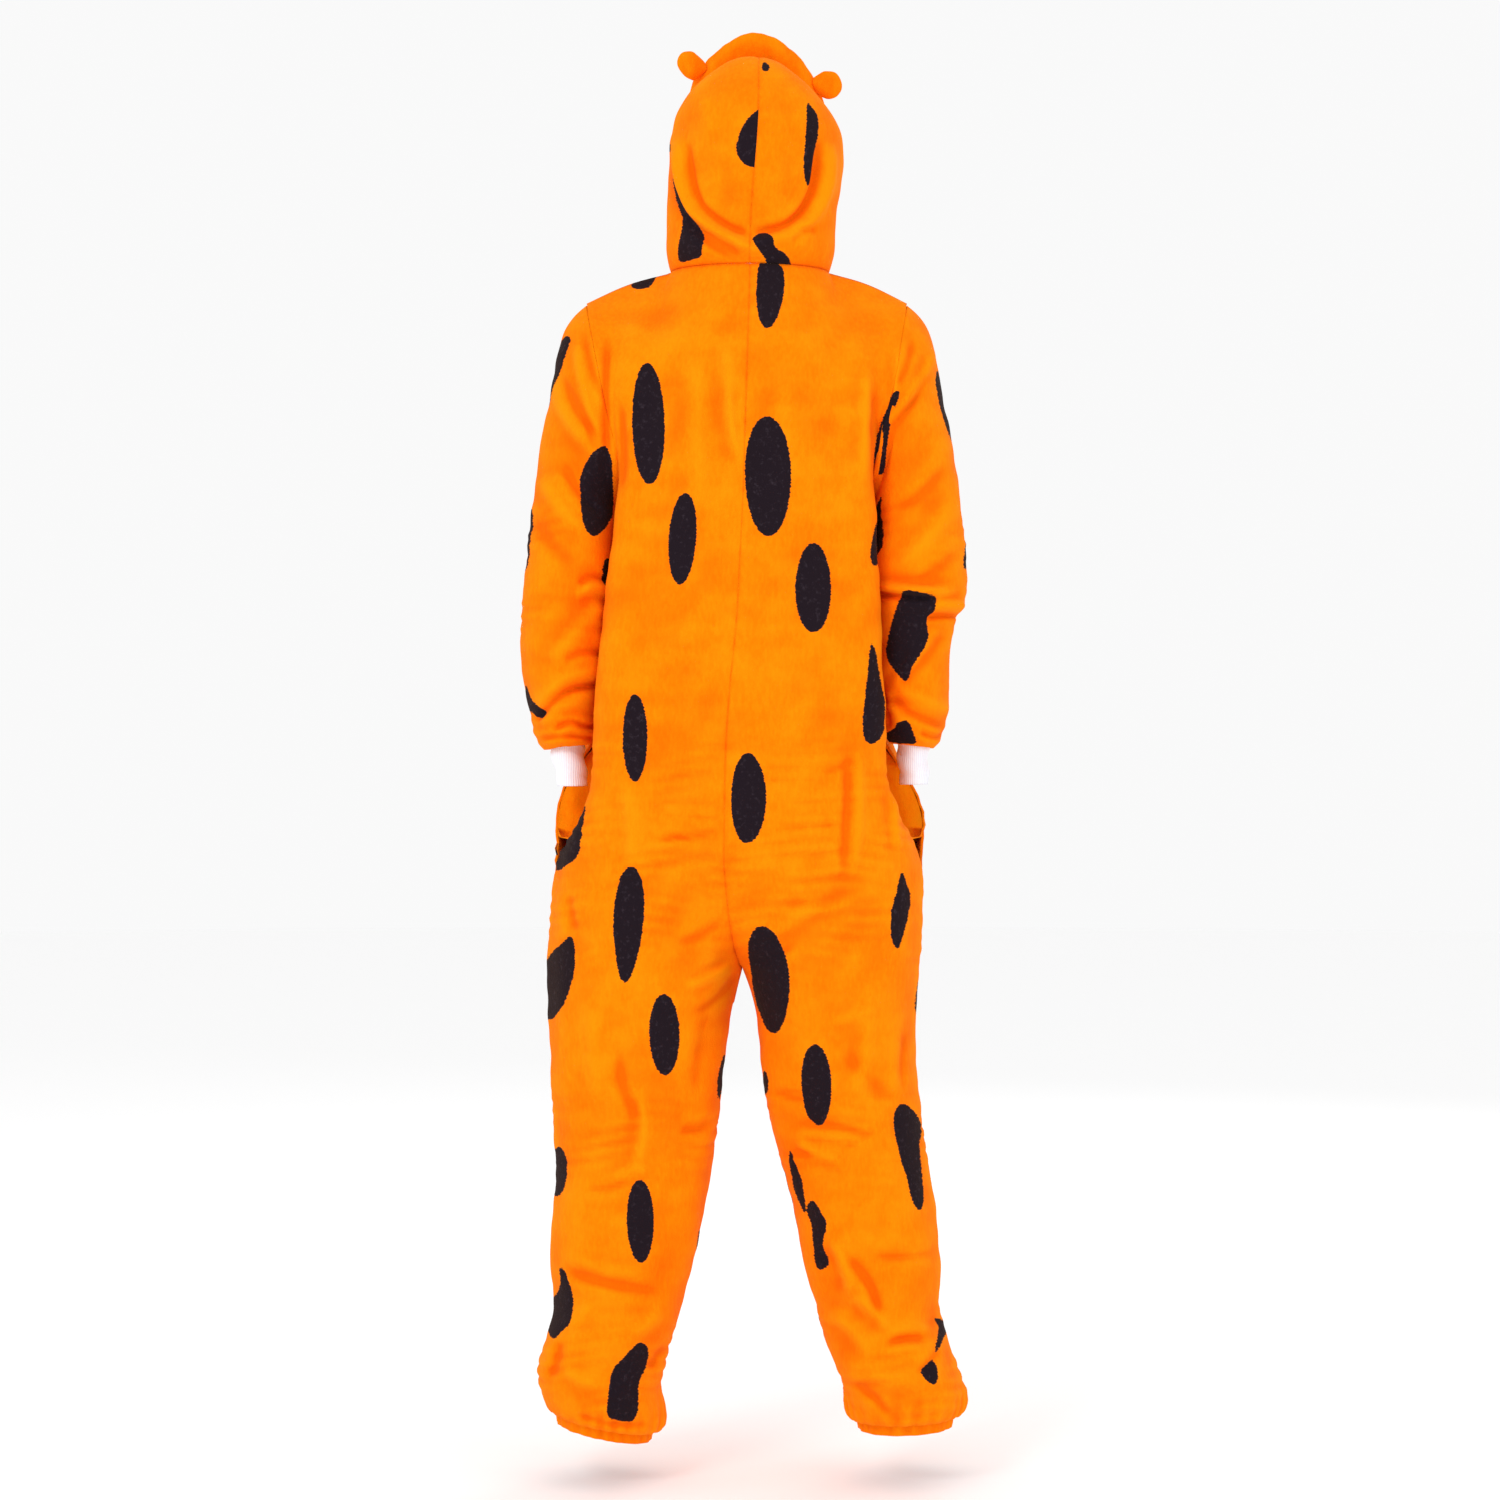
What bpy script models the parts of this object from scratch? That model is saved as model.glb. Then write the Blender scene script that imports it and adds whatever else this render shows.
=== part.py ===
"""Hooded fleece onesie in the hollow form it has when worn.

Metres, +Z up, the front towards -Y. The origin lies between the shoulders at the base of the neck.
Each cut piece is a closed wall of its own, parted from its neighbour by the seam gap.
"""

import math

import bmesh
import bpy
import numpy as np
from mathutils import Vector

# Cloth
FLEECE = 0.003
JERSEY = 0.002
POCKET_CLOTH = 0.0015
GAP = 0.0003

# Grid of the body panels, counted in faces
BACK_COLUMNS = 14
FRONT_COLUMNS = 12
YOKE_ROWS = 10
TORSO_ROWS = 9
CROTCH_ROWS = 6
FIRST_LEG_ROW = YOKE_ROWS + TORSO_ROWS + CROTCH_ROWS

# Heights
UNDERARM_Z = -0.250
CROTCH_START_Z = -0.640
CROTCH_Z = -0.833

# Neck seam and shoulder
NECK_HALF_WIDTH = 0.100
NECK_BACK = 0.085
NECK_FRONT = 0.078
NECK_BACK_Z = 0.037
NECK_SIDE_Z = 0.036
NECK_FRONT_Z = -0.025
SHOULDER_TIP = {1: (0.204, -0.002), -1: (0.196, -0.002)}
ARMHOLE_DEPTH = {"back": 0.092, "front": 0.086}

TORSO_COLUMNS = ("z", "centre", "left", "right", "back", "front", "box", "arm_dent")
TORSO = (
    (-0.250, 0.000, 0.178, 0.170, 0.128, 0.128, 4.0, 0.026),
    (-0.290, 0.001, 0.196, 0.186, 0.127, 0.129, 4.0, 0.046),
    (-0.320, 0.002, 0.198, 0.184, 0.127, 0.130, 4.0, 0.049),
    (-0.400, 0.005, 0.197, 0.175, 0.126, 0.130, 4.0, 0.045),
    (-0.480, 0.013, 0.205, 0.178, 0.127, 0.130, 3.8, 0.045),
    (-0.550, 0.018, 0.213, 0.184, 0.130, 0.130, 3.5, 0.039),
    (-0.600, 0.019, 0.221, 0.190, 0.133, 0.130, 3.1, 0.028),
    (-0.650, 0.019, 0.229, 0.204, 0.136, 0.129, 2.8, 0.010),
    (-0.700, 0.019, 0.241, 0.217, 0.136, 0.127, 2.7, 0.000),
    (-0.760, 0.014, 0.247, 0.219, 0.130, 0.122, 2.6, 0.000),
    (-0.840, 0.007, 0.252, 0.213, 0.118, 0.113, 2.5, 0.000),
)

ARM_DENT_REACH = 0.062

LEG_COLUMNS = ("z", "left_in", "left_out", "right_in", "right_out", "back", "front")
LEG = (
    (-0.833, 0.007, 0.252, 0.007, -0.213, 0.118, 0.113),
    (-0.870, 0.018, 0.254, -0.005, -0.210, 0.112, 0.108),
    (-0.935, 0.029, 0.251, -0.010, -0.206, 0.102, 0.102),
    (-1.000, 0.038, 0.246, -0.021, -0.212, 0.094, 0.096),
    (-1.060, 0.044, 0.243, -0.035, -0.219, 0.092, 0.091),
    (-1.120, 0.054, 0.246, -0.050, -0.231, 0.096, 0.087),
    (-1.185, 0.066, 0.250, -0.062, -0.236, 0.098, 0.085),
    (-1.250, 0.084, 0.247, -0.081, -0.236, 0.098, 0.087),
    (-1.310, 0.104, 0.256, -0.098, -0.250, 0.102, 0.093),
    (-1.345, 0.113, 0.267, -0.117, -0.265, 0.106, 0.097),
)
LEG_ROW_Z = (-0.870, -0.905, -0.940, -0.980, -1.020, -1.060, -1.100, -1.140, -1.180, -1.215,
             -1.245, -1.272, -1.298, -1.322, -1.345)

# The bottom of a leg: it bulges over the elastic, turns under and meets the hem band.
HEM_COLUMNS = ("drop", "size")
LEG_TURN = ((-0.022, 1.00), (-0.038, 0.94), (-0.043, 0.86), (-0.037, 0.79))
HEM_BAND = ((-0.029, 0.782), (-0.044, 0.762), (-0.057, 0.745))
HEM_GATHER = 0.0025
HEM_CENTRE = {1: 0.182, -1: -0.194}
HEM_HALF_WIDTH = 0.079
HEM_HALF_DEPTH = 0.096
HEM_TOP_Z = {1: -1.352, -1: -1.347}
HEM_TILT = {1: 0.20, -1: -0.04}

# Sleeve rings, from the armhole to the cuff: the points furthest out and furthest in, seen from behind
SLEEVE_TABLE_COLUMNS = ("out_x", "out_z", "in_x", "in_z", "y", "depth")
SLEEVE = {
    1: (
        (0.226, -0.020, 0.165, -0.254, 0.000, 0.090),
        (0.240, -0.058, 0.168, -0.261, 0.002, 0.086),
        (0.249, -0.105, 0.170, -0.270, 0.004, 0.081),
        (0.257, -0.155, 0.169, -0.281, 0.007, 0.076),
        (0.265, -0.205, 0.172, -0.295, 0.011, 0.072),
        (0.272, -0.255, 0.175, -0.314, 0.015, 0.069),
        (0.278, -0.305, 0.177, -0.340, 0.018, 0.067),
        (0.283, -0.355, 0.179, -0.371, 0.020, 0.067),
        (0.286, -0.400, 0.181, -0.406, 0.020, 0.066),
        (0.285, -0.440, 0.184, -0.442, 0.017, 0.064),
        (0.282, -0.478, 0.188, -0.477, 0.012, 0.060),
        (0.277, -0.508, 0.191, -0.505, 0.007, 0.056),
        (0.272, -0.532, 0.194, -0.527, 0.004, 0.053),
        (0.266, -0.551, 0.198, -0.545, 0.002, 0.049),
        (0.257, -0.560, 0.203, -0.553, 0.001, 0.041),
        (0.250, -0.558, 0.207, -0.552, 0.000, 0.032),
    ),
    -1: (
        (0.218, -0.020, 0.156, -0.254, 0.000, 0.090),
        (0.231, -0.058, 0.155, -0.262, 0.002, 0.086),
        (0.240, -0.105, 0.157, -0.270, 0.004, 0.081),
        (0.249, -0.155, 0.159, -0.281, 0.007, 0.076),
        (0.258, -0.205, 0.157, -0.295, 0.011, 0.073),
        (0.265, -0.255, 0.154, -0.314, 0.015, 0.071),
        (0.270, -0.305, 0.155, -0.338, 0.018, 0.071),
        (0.273, -0.348, 0.159, -0.362, 0.021, 0.073),
        (0.270, -0.376, 0.159, -0.382, 0.021, 0.072),
        (0.257, -0.396, 0.159, -0.400, 0.018, 0.060),
        (0.249, -0.430, 0.160, -0.431, 0.015, 0.058),
        (0.247, -0.468, 0.162, -0.466, 0.011, 0.058),
        (0.250, -0.500, 0.165, -0.497, 0.007, 0.057),
        (0.247, -0.528, 0.169, -0.523, 0.004, 0.054),
        (0.239, -0.549, 0.174, -0.543, 0.002, 0.048),
        (0.230, -0.558, 0.179, -0.552, 0.001, 0.040),
        (0.224, -0.556, 0.183, -0.550, 0.000, 0.032),
    ),
}
CUFF_LENGTH = 0.050
CUFF_TAPER = 0.90
CUFF_SHIFT = {1: (-0.007, 0.004), -1: (0.001, 0.004)}

# Side pockets: the mouth is a slit in the side seam, held open between these heights
POCKET_TOP_Z = -0.535
POCKET_BOTTOM_Z = -0.690
POCKET_SKEW = 0.80
POCKET_BACK_PULL = {1: (-0.012, 0.034), -1: (-0.006, 0.034)}
POCKET_FRONT_PULL = {1: (0.044, -0.058), -1: (0.045, -0.058)}
POCKET_COLUMNS = ("x", "y", "z", "half_height", "half_width")
POCKET = (
    (0.152, -0.014, -0.622, 0.060, 0.028),
    (0.128, -0.040, -0.636, 0.064, 0.022),
    (0.102, -0.058, -0.658, 0.060, 0.015),
    (0.078, -0.068, -0.676, 0.046, 0.009),
)

# Hood rows, from the neck seam to the seam over the crown
HOOD_COLUMNS = ("back_y", "back_z", "side_x", "side_y", "side_z", "face_x", "face_y", "face_z")
HOOD = (
    (0.098, 0.056, 0.106, 0.002, 0.058, 0.028, -0.090, 0.008),
    (0.094, 0.080, 0.106, 0.004, 0.082, 0.050, -0.096, 0.042),
    (0.103, 0.105, 0.106, 0.006, 0.108, 0.066, -0.098, 0.078),
    (0.112, 0.135, 0.108, 0.009, 0.136, 0.076, -0.097, 0.112),
    (0.119, 0.170, 0.109, 0.013, 0.166, 0.081, -0.093, 0.144),
    (0.121, 0.205, 0.108, 0.017, 0.194, 0.083, -0.088, 0.172),
    (0.115, 0.240, 0.104, 0.017, 0.217, 0.082, -0.082, 0.194),
    (0.098, 0.270, 0.095, 0.013, 0.236, 0.079, -0.076, 0.209),
    (0.066, 0.293, 0.083, 0.004, 0.249, 0.075, -0.071, 0.219),
    (0.028, 0.304, 0.069, -0.012, 0.256, 0.070, -0.067, 0.227),
    (-0.014, 0.305, 0.057, -0.032, 0.259, 0.065, -0.064, 0.233),
    (-0.050, 0.299, 0.048, -0.052, 0.258, 0.060, -0.061, 0.237),
)
HOOD_LEAN_X = -0.011
HOOD_ROLL = 0.115
HOOD_LEAN_START_Z = 0.060
HOOD_LEAN_END_Z = 0.240

# Padded brim over the face: an arch from ear to ear
BRIM_COLUMNS = ("base_x", "base_y", "base_z", "rim_x", "rim_y", "rim_z", "half_thickness")
BRIM = (
    (0.000, -0.0630, 0.297, 0.000, -0.022, 0.340, 0.0095),
    (0.020, -0.0630, 0.292, 0.025, -0.025, 0.333, 0.0100),
    (0.034, -0.0645, 0.279, 0.047, -0.034, 0.317, 0.0110),
    (0.045, -0.0670, 0.262, 0.067, -0.046, 0.296, 0.0115),
    (0.055, -0.0715, 0.246, 0.081, -0.056, 0.272, 0.0110),
    (0.061, -0.0750, 0.233, 0.088, -0.062, 0.250, 0.0095),
    (0.065, -0.0770, 0.224, 0.085, -0.068, 0.235, 0.0070),
)
BRIM_SEGMENTS = 12

EAR_HALF_WIDTH = 0.0175
EAR_REACH = 0.033
EAR_HALF_THICKNESS = 0.006
EAR_BASE = {1: (0.0753, -0.0415, 0.2834), -1: (0.0780, -0.0440, 0.2786)}
EAR_LEAN = math.radians(42)

PLACKET_HALF_WIDTH = 0.019
PLACKET_BOTTOM_Z = -0.600
PLACKET_THICKNESS = 0.003
PLACKET_CLEAR = 0.0011
BUTTON_COUNT = 5
BUTTON_RADIUS = 0.0105
BUTTON_THICKNESS = 0.004
BUTTON_CLEAR = 0.0003

# Largest folds: a line seen from behind or from the front, and how far the cloth rises along it
FOLD_COLUMNS = ("face", "x1", "z1", "x2", "z2", "width", "rise")
FOLDS = (
    ("back", 0.146, -0.060, 0.158, -0.600, 0.020, 0.007),
    ("back", 0.118, -0.120, 0.122, -0.420, 0.018, -0.007),
    ("back", -0.136, -0.070, -0.134, -0.560, 0.018, 0.007),
    ("back", -0.108, -0.120, -0.112, -0.440, 0.018, -0.006),
    ("back", 0.012, -0.080, 0.006, -0.360, 0.016, 0.006),
    ("back", 0.036, -0.090, 0.030, -0.330, 0.016, -0.005),
    ("back", 0.236, -0.040, 0.190, -0.190, 0.013, 0.007),
    ("back", 0.215, -0.050, 0.176, -0.170, 0.012, -0.007),
    ("back", 0.252, -0.120, 0.190, -0.240, 0.014, -0.006),
    ("back", 0.270, -0.230, 0.196, -0.330, 0.018, 0.007),
    ("back", 0.276, -0.330, 0.190, -0.385, 0.016, -0.008),
    ("back", 0.284, -0.470, 0.196, -0.440, 0.016, 0.008),
    ("back", 0.280, -0.505, 0.194, -0.512, 0.011, -0.007),
    ("back", -0.228, -0.050, -0.176, -0.150, 0.013, 0.007),
    ("back", -0.205, -0.050, -0.168, -0.130, 0.012, -0.007),
    ("back", -0.240, -0.100, -0.180, -0.200, 0.014, -0.006),
    ("back", -0.258, -0.440, -0.160, -0.520, 0.018, 0.007),
    ("back", -0.250, -0.515, -0.176, -0.500, 0.011, -0.007),
    ("back", 0.060, -0.800, 0.190, -0.760, 0.024, 0.005),
    ("back", 0.030, -0.860, 0.080, -1.040, 0.022, -0.006),
    ("back", 0.140, -1.060, 0.240, -1.090, 0.020, -0.006),
    ("back", 0.090, -1.215, 0.240, -1.250, 0.018, -0.009),
    ("back", 0.110, -1.265, 0.250, -1.300, 0.016, 0.009),
    ("back", 0.120, -1.310, 0.236, -1.332, 0.012, -0.007),
    ("back", -0.030, -0.900, -0.120, -1.130, 0.024, -0.007),
    ("back", -0.060, -1.130, -0.120, -1.260, 0.022, -0.009),
    ("back", -0.090, -1.200, -0.230, -1.220, 0.020, 0.009),
    ("back", -0.100, -1.262, -0.240, -1.258, 0.015, -0.010),
    ("back", -0.130, -1.330, -0.250, -1.290, 0.016, 0.008),
    ("front", 0.140, -0.070, 0.146, -0.480, 0.020, 0.007),
    ("front", -0.130, -0.070, -0.128, -0.480, 0.020, 0.007),
    ("front", 0.105, -0.140, 0.112, -0.430, 0.018, -0.006),
    ("front", -0.098, -0.140, -0.104, -0.430, 0.018, -0.006),
    ("front", 0.232, -0.060, 0.184, -0.200, 0.014, 0.007),
    ("front", -0.224, -0.060, -0.172, -0.190, 0.014, 0.007),
    ("front", 0.276, -0.300, 0.186, -0.360, 0.018, -0.008),
    ("front", -0.264, -0.330, -0.166, -0.370, 0.018, -0.008),
    ("front", 0.282, -0.450, 0.190, -0.480, 0.016, 0.008),
    ("front", -0.250, -0.480, -0.166, -0.500, 0.016, 0.008),
    ("front", 0.060, -0.720, 0.190, -0.690, 0.026, -0.006),
    ("front", -0.050, -0.720, -0.170, -0.690, 0.026, -0.006),
    ("front", 0.090, -1.000, 0.220, -1.030, 0.026, 0.007),
    ("front", -0.070, -1.000, -0.190, -1.030, 0.026, 0.007),
    ("front", 0.090, -1.230, 0.240, -1.255, 0.018, -0.009),
    ("front", -0.090, -1.240, -0.230, -1.250, 0.018, -0.009),
    ("front", 0.120, -1.300, 0.240, -1.290, 0.016, 0.008),
    ("front", -0.110, -1.290, -0.240, -1.300, 0.016, 0.008),
)
# Folds of the hood, in its own upright place
HOOD_FOLDS = (
    ("back", 0.094, 0.200, 0.066, 0.118, 0.018, -0.006),
    ("back", 0.066, 0.118, 0.000, 0.081, 0.020, -0.004),
    ("back", -0.094, 0.190, -0.070, 0.112, 0.018, -0.005),
    ("back", -0.070, 0.112, 0.000, 0.081, 0.020, -0.004),
)

MATERIALS = {
    "orange_fleece": ((0.95, 0.30, 0.005), 0.95),
    "white_jersey": ((0.88, 0.87, 0.88), 0.85),
    "orange_button": ((0.85, 0.26, 0.01), 0.45),
}


def clear_scene():
    for obj in list(bpy.data.objects):
        bpy.data.objects.remove(obj, do_unlink=True)


def make_materials():
    made = {}
    for name, (colour, roughness) in MATERIALS.items():
        material = bpy.data.materials.new(name)
        material.use_nodes = True
        shader = material.node_tree.nodes["Principled BSDF"]
        shader.inputs["Base Color"].default_value = (*colour, 1.0)
        shader.inputs["Roughness"].default_value = roughness
        shader.inputs["Metallic"].default_value = 0.0
        made[name] = material
    return made


def smoothstep(value):
    t = np.clip(value, 0.0, 1.0)
    return t * t * (3.0 - 2.0 * t)


def read(table, names, name, at, key="z"):
    """A smooth reading of one column of a table whose key column falls or rises steadily."""
    keys = np.array([row[names.index(key)] for row in table])
    values = np.array([row[names.index(name)] for row in table])
    if keys[0] > keys[-1]:
        keys, values = keys[::-1], values[::-1]
    slopes = np.gradient(values, keys)
    at = float(np.clip(at, keys[0], keys[-1]))
    i = int(np.clip(np.searchsorted(keys, at) - 1, 0, len(keys) - 2))
    span = keys[i + 1] - keys[i]
    t = (at - keys[i]) / span
    return float(
        (2 * t**3 - 3 * t**2 + 1) * values[i]
        + (t**3 - 2 * t**2 + t) * span * slopes[i]
        + (3 * t**2 - 2 * t**3) * values[i + 1]
        + (t**3 - t**2) * span * slopes[i + 1]
    )


def evenly(points, count):
    """The same line, with count + 1 points at even distances along it."""
    points = np.asarray(points, float)
    steps = np.linalg.norm(np.diff(points, axis=0), axis=1)
    along = np.concatenate([[0.0], np.cumsum(steps)])
    wanted = np.linspace(0.0, along[-1], count + 1)
    return np.stack([np.interp(wanted, along, points[:, k]) for k in range(3)], axis=1)


def curve_through(points, count, first=None, last=None):
    """A smooth curve through the points, read at count + 1 even distances.

    first and last are points beyond the ends that set the directions there."""
    points = [np.asarray(p, float) for p in points]
    before = 2 * points[0] - points[1] if first is None else np.asarray(first, float)
    after = 2 * points[-1] - points[-2] if last is None else np.asarray(last, float)
    chain = [before, *points, after]
    fine = []
    for i in range(1, len(chain) - 2):
        a, b, c, d = chain[i - 1 : i + 3]
        for t in np.linspace(0.0, 1.0, 12, endpoint=False):
            fine.append(
                0.5 * (2 * b + (c - a) * t + (2 * a - 5 * b + 4 * c - d) * t**2
                       + (3 * b - a - 3 * c + d) * t**3)
            )
    fine.append(points[-1])
    return evenly(fine, count)


def squared_arc(centre, half_x, half_y, box, start, end, z, steps=72):
    """Part of a rounded box in plan, between two angles in degrees, anticlockwise from +X."""
    angles = np.radians(np.linspace(start, end, steps))
    cos, sin = np.cos(angles), np.sin(angles)
    reach = (np.abs(cos / half_x) ** box + np.abs(sin / half_y) ** box) ** (-1.0 / box)
    return np.stack([centre + reach * cos, reach * sin, np.full(steps, z)], axis=1)


def torso_arc(side, face, z, count):
    """Half of a torso section: from the centre seam to the side seam."""
    centre = read(TORSO, TORSO_COLUMNS, "centre", z)
    reach = side * read(TORSO, TORSO_COLUMNS, "left" if side > 0 else "right", z) - centre
    depth = read(TORSO, TORSO_COLUMNS, face, z)
    box = read(TORSO, TORSO_COLUMNS, "box", z)
    arc = squared_arc(0.0, abs(reach), depth, box, 90.0, 0.0, z)
    dent = read(TORSO, TORSO_COLUMNS, "arm_dent", z)
    arc[:, 0] -= dent * np.exp(-((arc[:, 1] / ARM_DENT_REACH) ** 2)) * smoothstep(arc[:, 0] / abs(reach))
    arc[:, 0] = centre + side * arc[:, 0]
    arc[:, 1] *= 1.0 if face == "back" else -1.0
    return evenly(arc, count)


def leg_arc(side, face, z, count, centre_seam=None):
    """Half of a leg section: from the inseam to the side seam."""
    name = "left" if side > 0 else "right"
    inner = read(LEG, LEG_COLUMNS, name + "_in", z)
    outer = read(LEG, LEG_COLUMNS, name + "_out", z)
    if centre_seam is not None:
        inner = centre_seam
    depth = read(LEG, LEG_COLUMNS, face, z)
    box = 2.3
    arc = squared_arc(0.0, abs(outer - inner) / 2, depth, box, 180.0, 0.0, z)
    arc[:, 0] = (inner + outer) / 2 + side * arc[:, 0]
    arc[:, 1] *= 1.0 if face == "back" else -1.0
    return evenly(arc, count)


def armhole_point(side, face, angle):
    """A point of the armhole, from the shoulder tip at 0 to the underarm at pi."""
    tip_x, tip_z = SHOULDER_TIP[side]
    width = read(TORSO, TORSO_COLUMNS, "left" if side > 0 else "right", UNDERARM_Z)
    low_x = width - read(TORSO, TORSO_COLUMNS, "arm_dent", UNDERARM_Z)
    share = (1 - math.cos(angle)) / 2
    x = tip_x + (low_x - tip_x) * share
    y = ARMHOLE_DEPTH[face] * math.sin(angle) * (1.0 if face == "back" else -1.0)
    z = tip_z + (UNDERARM_Z - tip_z) * share
    return np.array([side * x, y, z])


def neck_point(side, face, angle):
    """A point of the neck seam, from the centre seam at 0 to the side of the neck at pi / 2."""
    sign = 1.0 if face == "back" else -1.0
    depth = NECK_BACK if face == "back" else NECK_FRONT
    end_z = NECK_BACK_Z if face == "back" else NECK_FRONT_Z
    z = NECK_SIDE_Z + (end_z - NECK_SIDE_Z) * math.cos(angle) ** 1.5
    return np.array([side * NECK_HALF_WIDTH * math.sin(angle), sign * depth * math.cos(angle), z])


def yoke_grid(side, face, count):
    """The panel from the neck and shoulder seam down to the underarm, stretched between its four edges."""
    neck_count = round(count * 0.5)
    neck = [neck_point(side, face, a) for a in np.linspace(0.0, math.pi / 2, 25)]
    tip = armhole_point(side, face, 0.0)
    shoulder = curve_through([neck[-1], 0.5 * (neck[-1] + tip) + np.array([0, 0, 0.005]), tip],
                             count - neck_count)
    top = np.concatenate([evenly(neck, neck_count), shoulder[1:]])
    bottom = torso_arc(side, face, UNDERARM_Z, count)
    sign = 1.0 if face == "back" else -1.0
    middle_y = 0.122 if face == "back" else 0.120
    centre = curve_through(
        [top[0], (0.0, sign * (0.55 * abs(top[0][1]) + 0.45 * middle_y), top[0][2] * 0.5 - 0.035),
         (0.0, sign * middle_y, -0.140), bottom[0]],
        YOKE_ROWS, last=bottom[0] + np.array([0, 0, -0.1]))
    arm = evenly([armhole_point(side, face, a) for a in np.linspace(0.0, math.pi, 49)], YOKE_ROWS)
    s = np.linspace(0.0, 1.0, YOKE_ROWS + 1)[:, None, None]
    t = np.linspace(0.0, 1.0, count + 1)[None, :, None]
    corners = ((1 - s) * (1 - t) * top[0] + (1 - s) * t * top[-1]
               + s * (1 - t) * bottom[0] + s * t * bottom[-1])
    return (1 - s) * top + s * bottom + (1 - t) * centre[:, None] + t * arm[:, None] - corners


def relax(grid, first, last, times):
    """Eases the points between two rows and between both side edges towards their neighbours."""
    for _ in range(times):
        inside = grid[first:last, 1:-1]
        around = (grid[first - 1 : last - 1, 1:-1] + grid[first + 1 : last + 1, 1:-1]
                  + grid[first:last, :-2] + grid[first:last, 2:])
        grid[first:last, 1:-1] = 0.4 * inside + 0.15 * around
    return grid


def crotch_rows(side, face, count):
    """Rows whose centre end follows the crotch curve under the body, while the side goes straight down."""
    rows = []
    side_end_z = CROTCH_Z + 0.020
    for i in range(1, CROTCH_ROWS + 1):
        turn = math.pi / 2 * i / CROTCH_ROWS
        share = 1 - math.cos(turn)
        side_z = CROTCH_START_Z + (side_end_z - CROTCH_START_Z) * i / CROTCH_ROWS
        centre_z = CROTCH_START_Z + (CROTCH_Z - CROTCH_START_Z) * math.sin(turn)
        upper = torso_arc(side, face, side_z, count)
        lower = leg_arc(side, face, CROTCH_Z, count, centre_seam=upper[0][0])
        row = (1 - share) * upper + share * lower
        t = np.linspace(0.0, 1.0, count + 1)
        row[:, 2] = centre_z + (side_z - centre_z) * smoothstep(t / 0.65)
        rows.append(row)
    return rows


def leg_rows(side, face, count):
    rows = []
    t = np.linspace(0.0, 1.0, count + 1)
    for i, z in enumerate(LEG_ROW_Z):
        row = leg_arc(side, face, z, count)
        rise = 0.020 * max(0.0, 1 - (i + 1) / 4)
        row[:, 2] += rise * smoothstep(t / 0.65)
        rows.append(row)
    return rows


def hem_ring(side, face, count, drop, size):
    """Half a ring at the foot of a leg, tilted as the hem hangs."""
    arc = squared_arc(0.0, HEM_HALF_WIDTH * size, HEM_HALF_DEPTH * size, 2.2, 180.0, 0.0,
                      HEM_TOP_Z[side] + drop)
    arc[:, 0] = HEM_CENTRE[side] + side * arc[:, 0]
    arc[:, 1] *= 1.0 if face == "back" else -1.0
    arc[:, 2] += HEM_TILT[side] * (arc[:, 0] - HEM_CENTRE[side])
    return evenly(arc, count)


def tilt_leg_foot(rows, side):
    """Leans the last rows of a leg into the tilt of the hem."""
    first = len(rows) - 4
    for i in range(first, len(rows)):
        share = (i - first + 1) / 5
        rows[i][:, 2] += share * HEM_TILT[side] * (rows[i][:, 0] - HEM_CENTRE[side])
    return rows


def body_grid(side, face):
    """One body panel, from neck and shoulder to hem. Columns run from the centre seam or inseam to the side."""
    count = BACK_COLUMNS if face == "back" else FRONT_COLUMNS
    yoke = yoke_grid(side, face, count)
    torso_z = np.linspace(UNDERARM_Z, CROTCH_START_Z, TORSO_ROWS + 1)[1:]
    torso = [torso_arc(side, face, z, count) for z in torso_z]
    legs = tilt_leg_foot(leg_rows(side, face, count), side)
    turned = [hem_ring(side, face, count, drop, size) for drop, size in LEG_TURN]
    grid = np.stack([*yoke, *torso, *crotch_rows(side, face, count), *legs, *turned])
    relax(grid, 1, YOKE_ROWS + 3, 14)
    relax(grid, YOKE_ROWS + 8, YOKE_ROWS + 18, 3)
    if face == "front":
        grid[: placket_rows(grid), 1] = placket_edge(grid)[: placket_rows(grid)]
    return grid


def placket_rows(grid):
    """How many rows of the front the placket runs along."""
    return int(np.argmin(np.abs(grid[:, 0, 2] - PLACKET_BOTTOM_Z))) + 1


def placket_edge(grid):
    """Points on the front at half the placket's width from the centre seam."""
    step = grid[:, 1] - grid[:, 0]
    return grid[:, 0] + unit(step) * PLACKET_HALF_WIDTH


def face_normals(grid, closed=False):
    """Unit normals of a grid of points, facing out where columns run anticlockwise as seen from above."""
    if closed:
        across = np.roll(grid, -1, axis=1) - np.roll(grid, 1, axis=1)
    else:
        across = np.gradient(grid, axis=1)
    down = np.gradient(grid, axis=0)
    normal = np.cross(down, across)
    length = np.linalg.norm(normal, axis=2, keepdims=True)
    return normal / np.maximum(length, 1e-9)


def outward(grid, side, face):
    """Normals of a body panel, pointing out of the garment."""
    flip = -1.0 if (side > 0) == (face == "back") else 1.0
    return flip * face_normals(grid)


def fold_rise(points, normals, folds):
    """How far each point is raised or sunk by the folds of the face, back or front, that it looks to."""
    shares = {"back": smoothstep((0.15 + normals[..., 1]) / 0.6),
              "front": smoothstep((0.15 - normals[..., 1]) / 0.6)}
    rise = np.zeros(points.shape[:-1])
    for face, x1, z1, x2, z2, width, height in folds:
        start, line = np.array([x1, z1]), np.array([x2 - x1, z2 - z1])
        plan = points[..., [0, 2]] - start
        along = np.clip((plan @ line) / (line @ line), 0.0, 1.0)
        gap = np.linalg.norm(plan - along[..., None] * line, axis=-1)
        rise += shares[face] * height * np.exp(-((gap / width) ** 2))
    return rise


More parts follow.
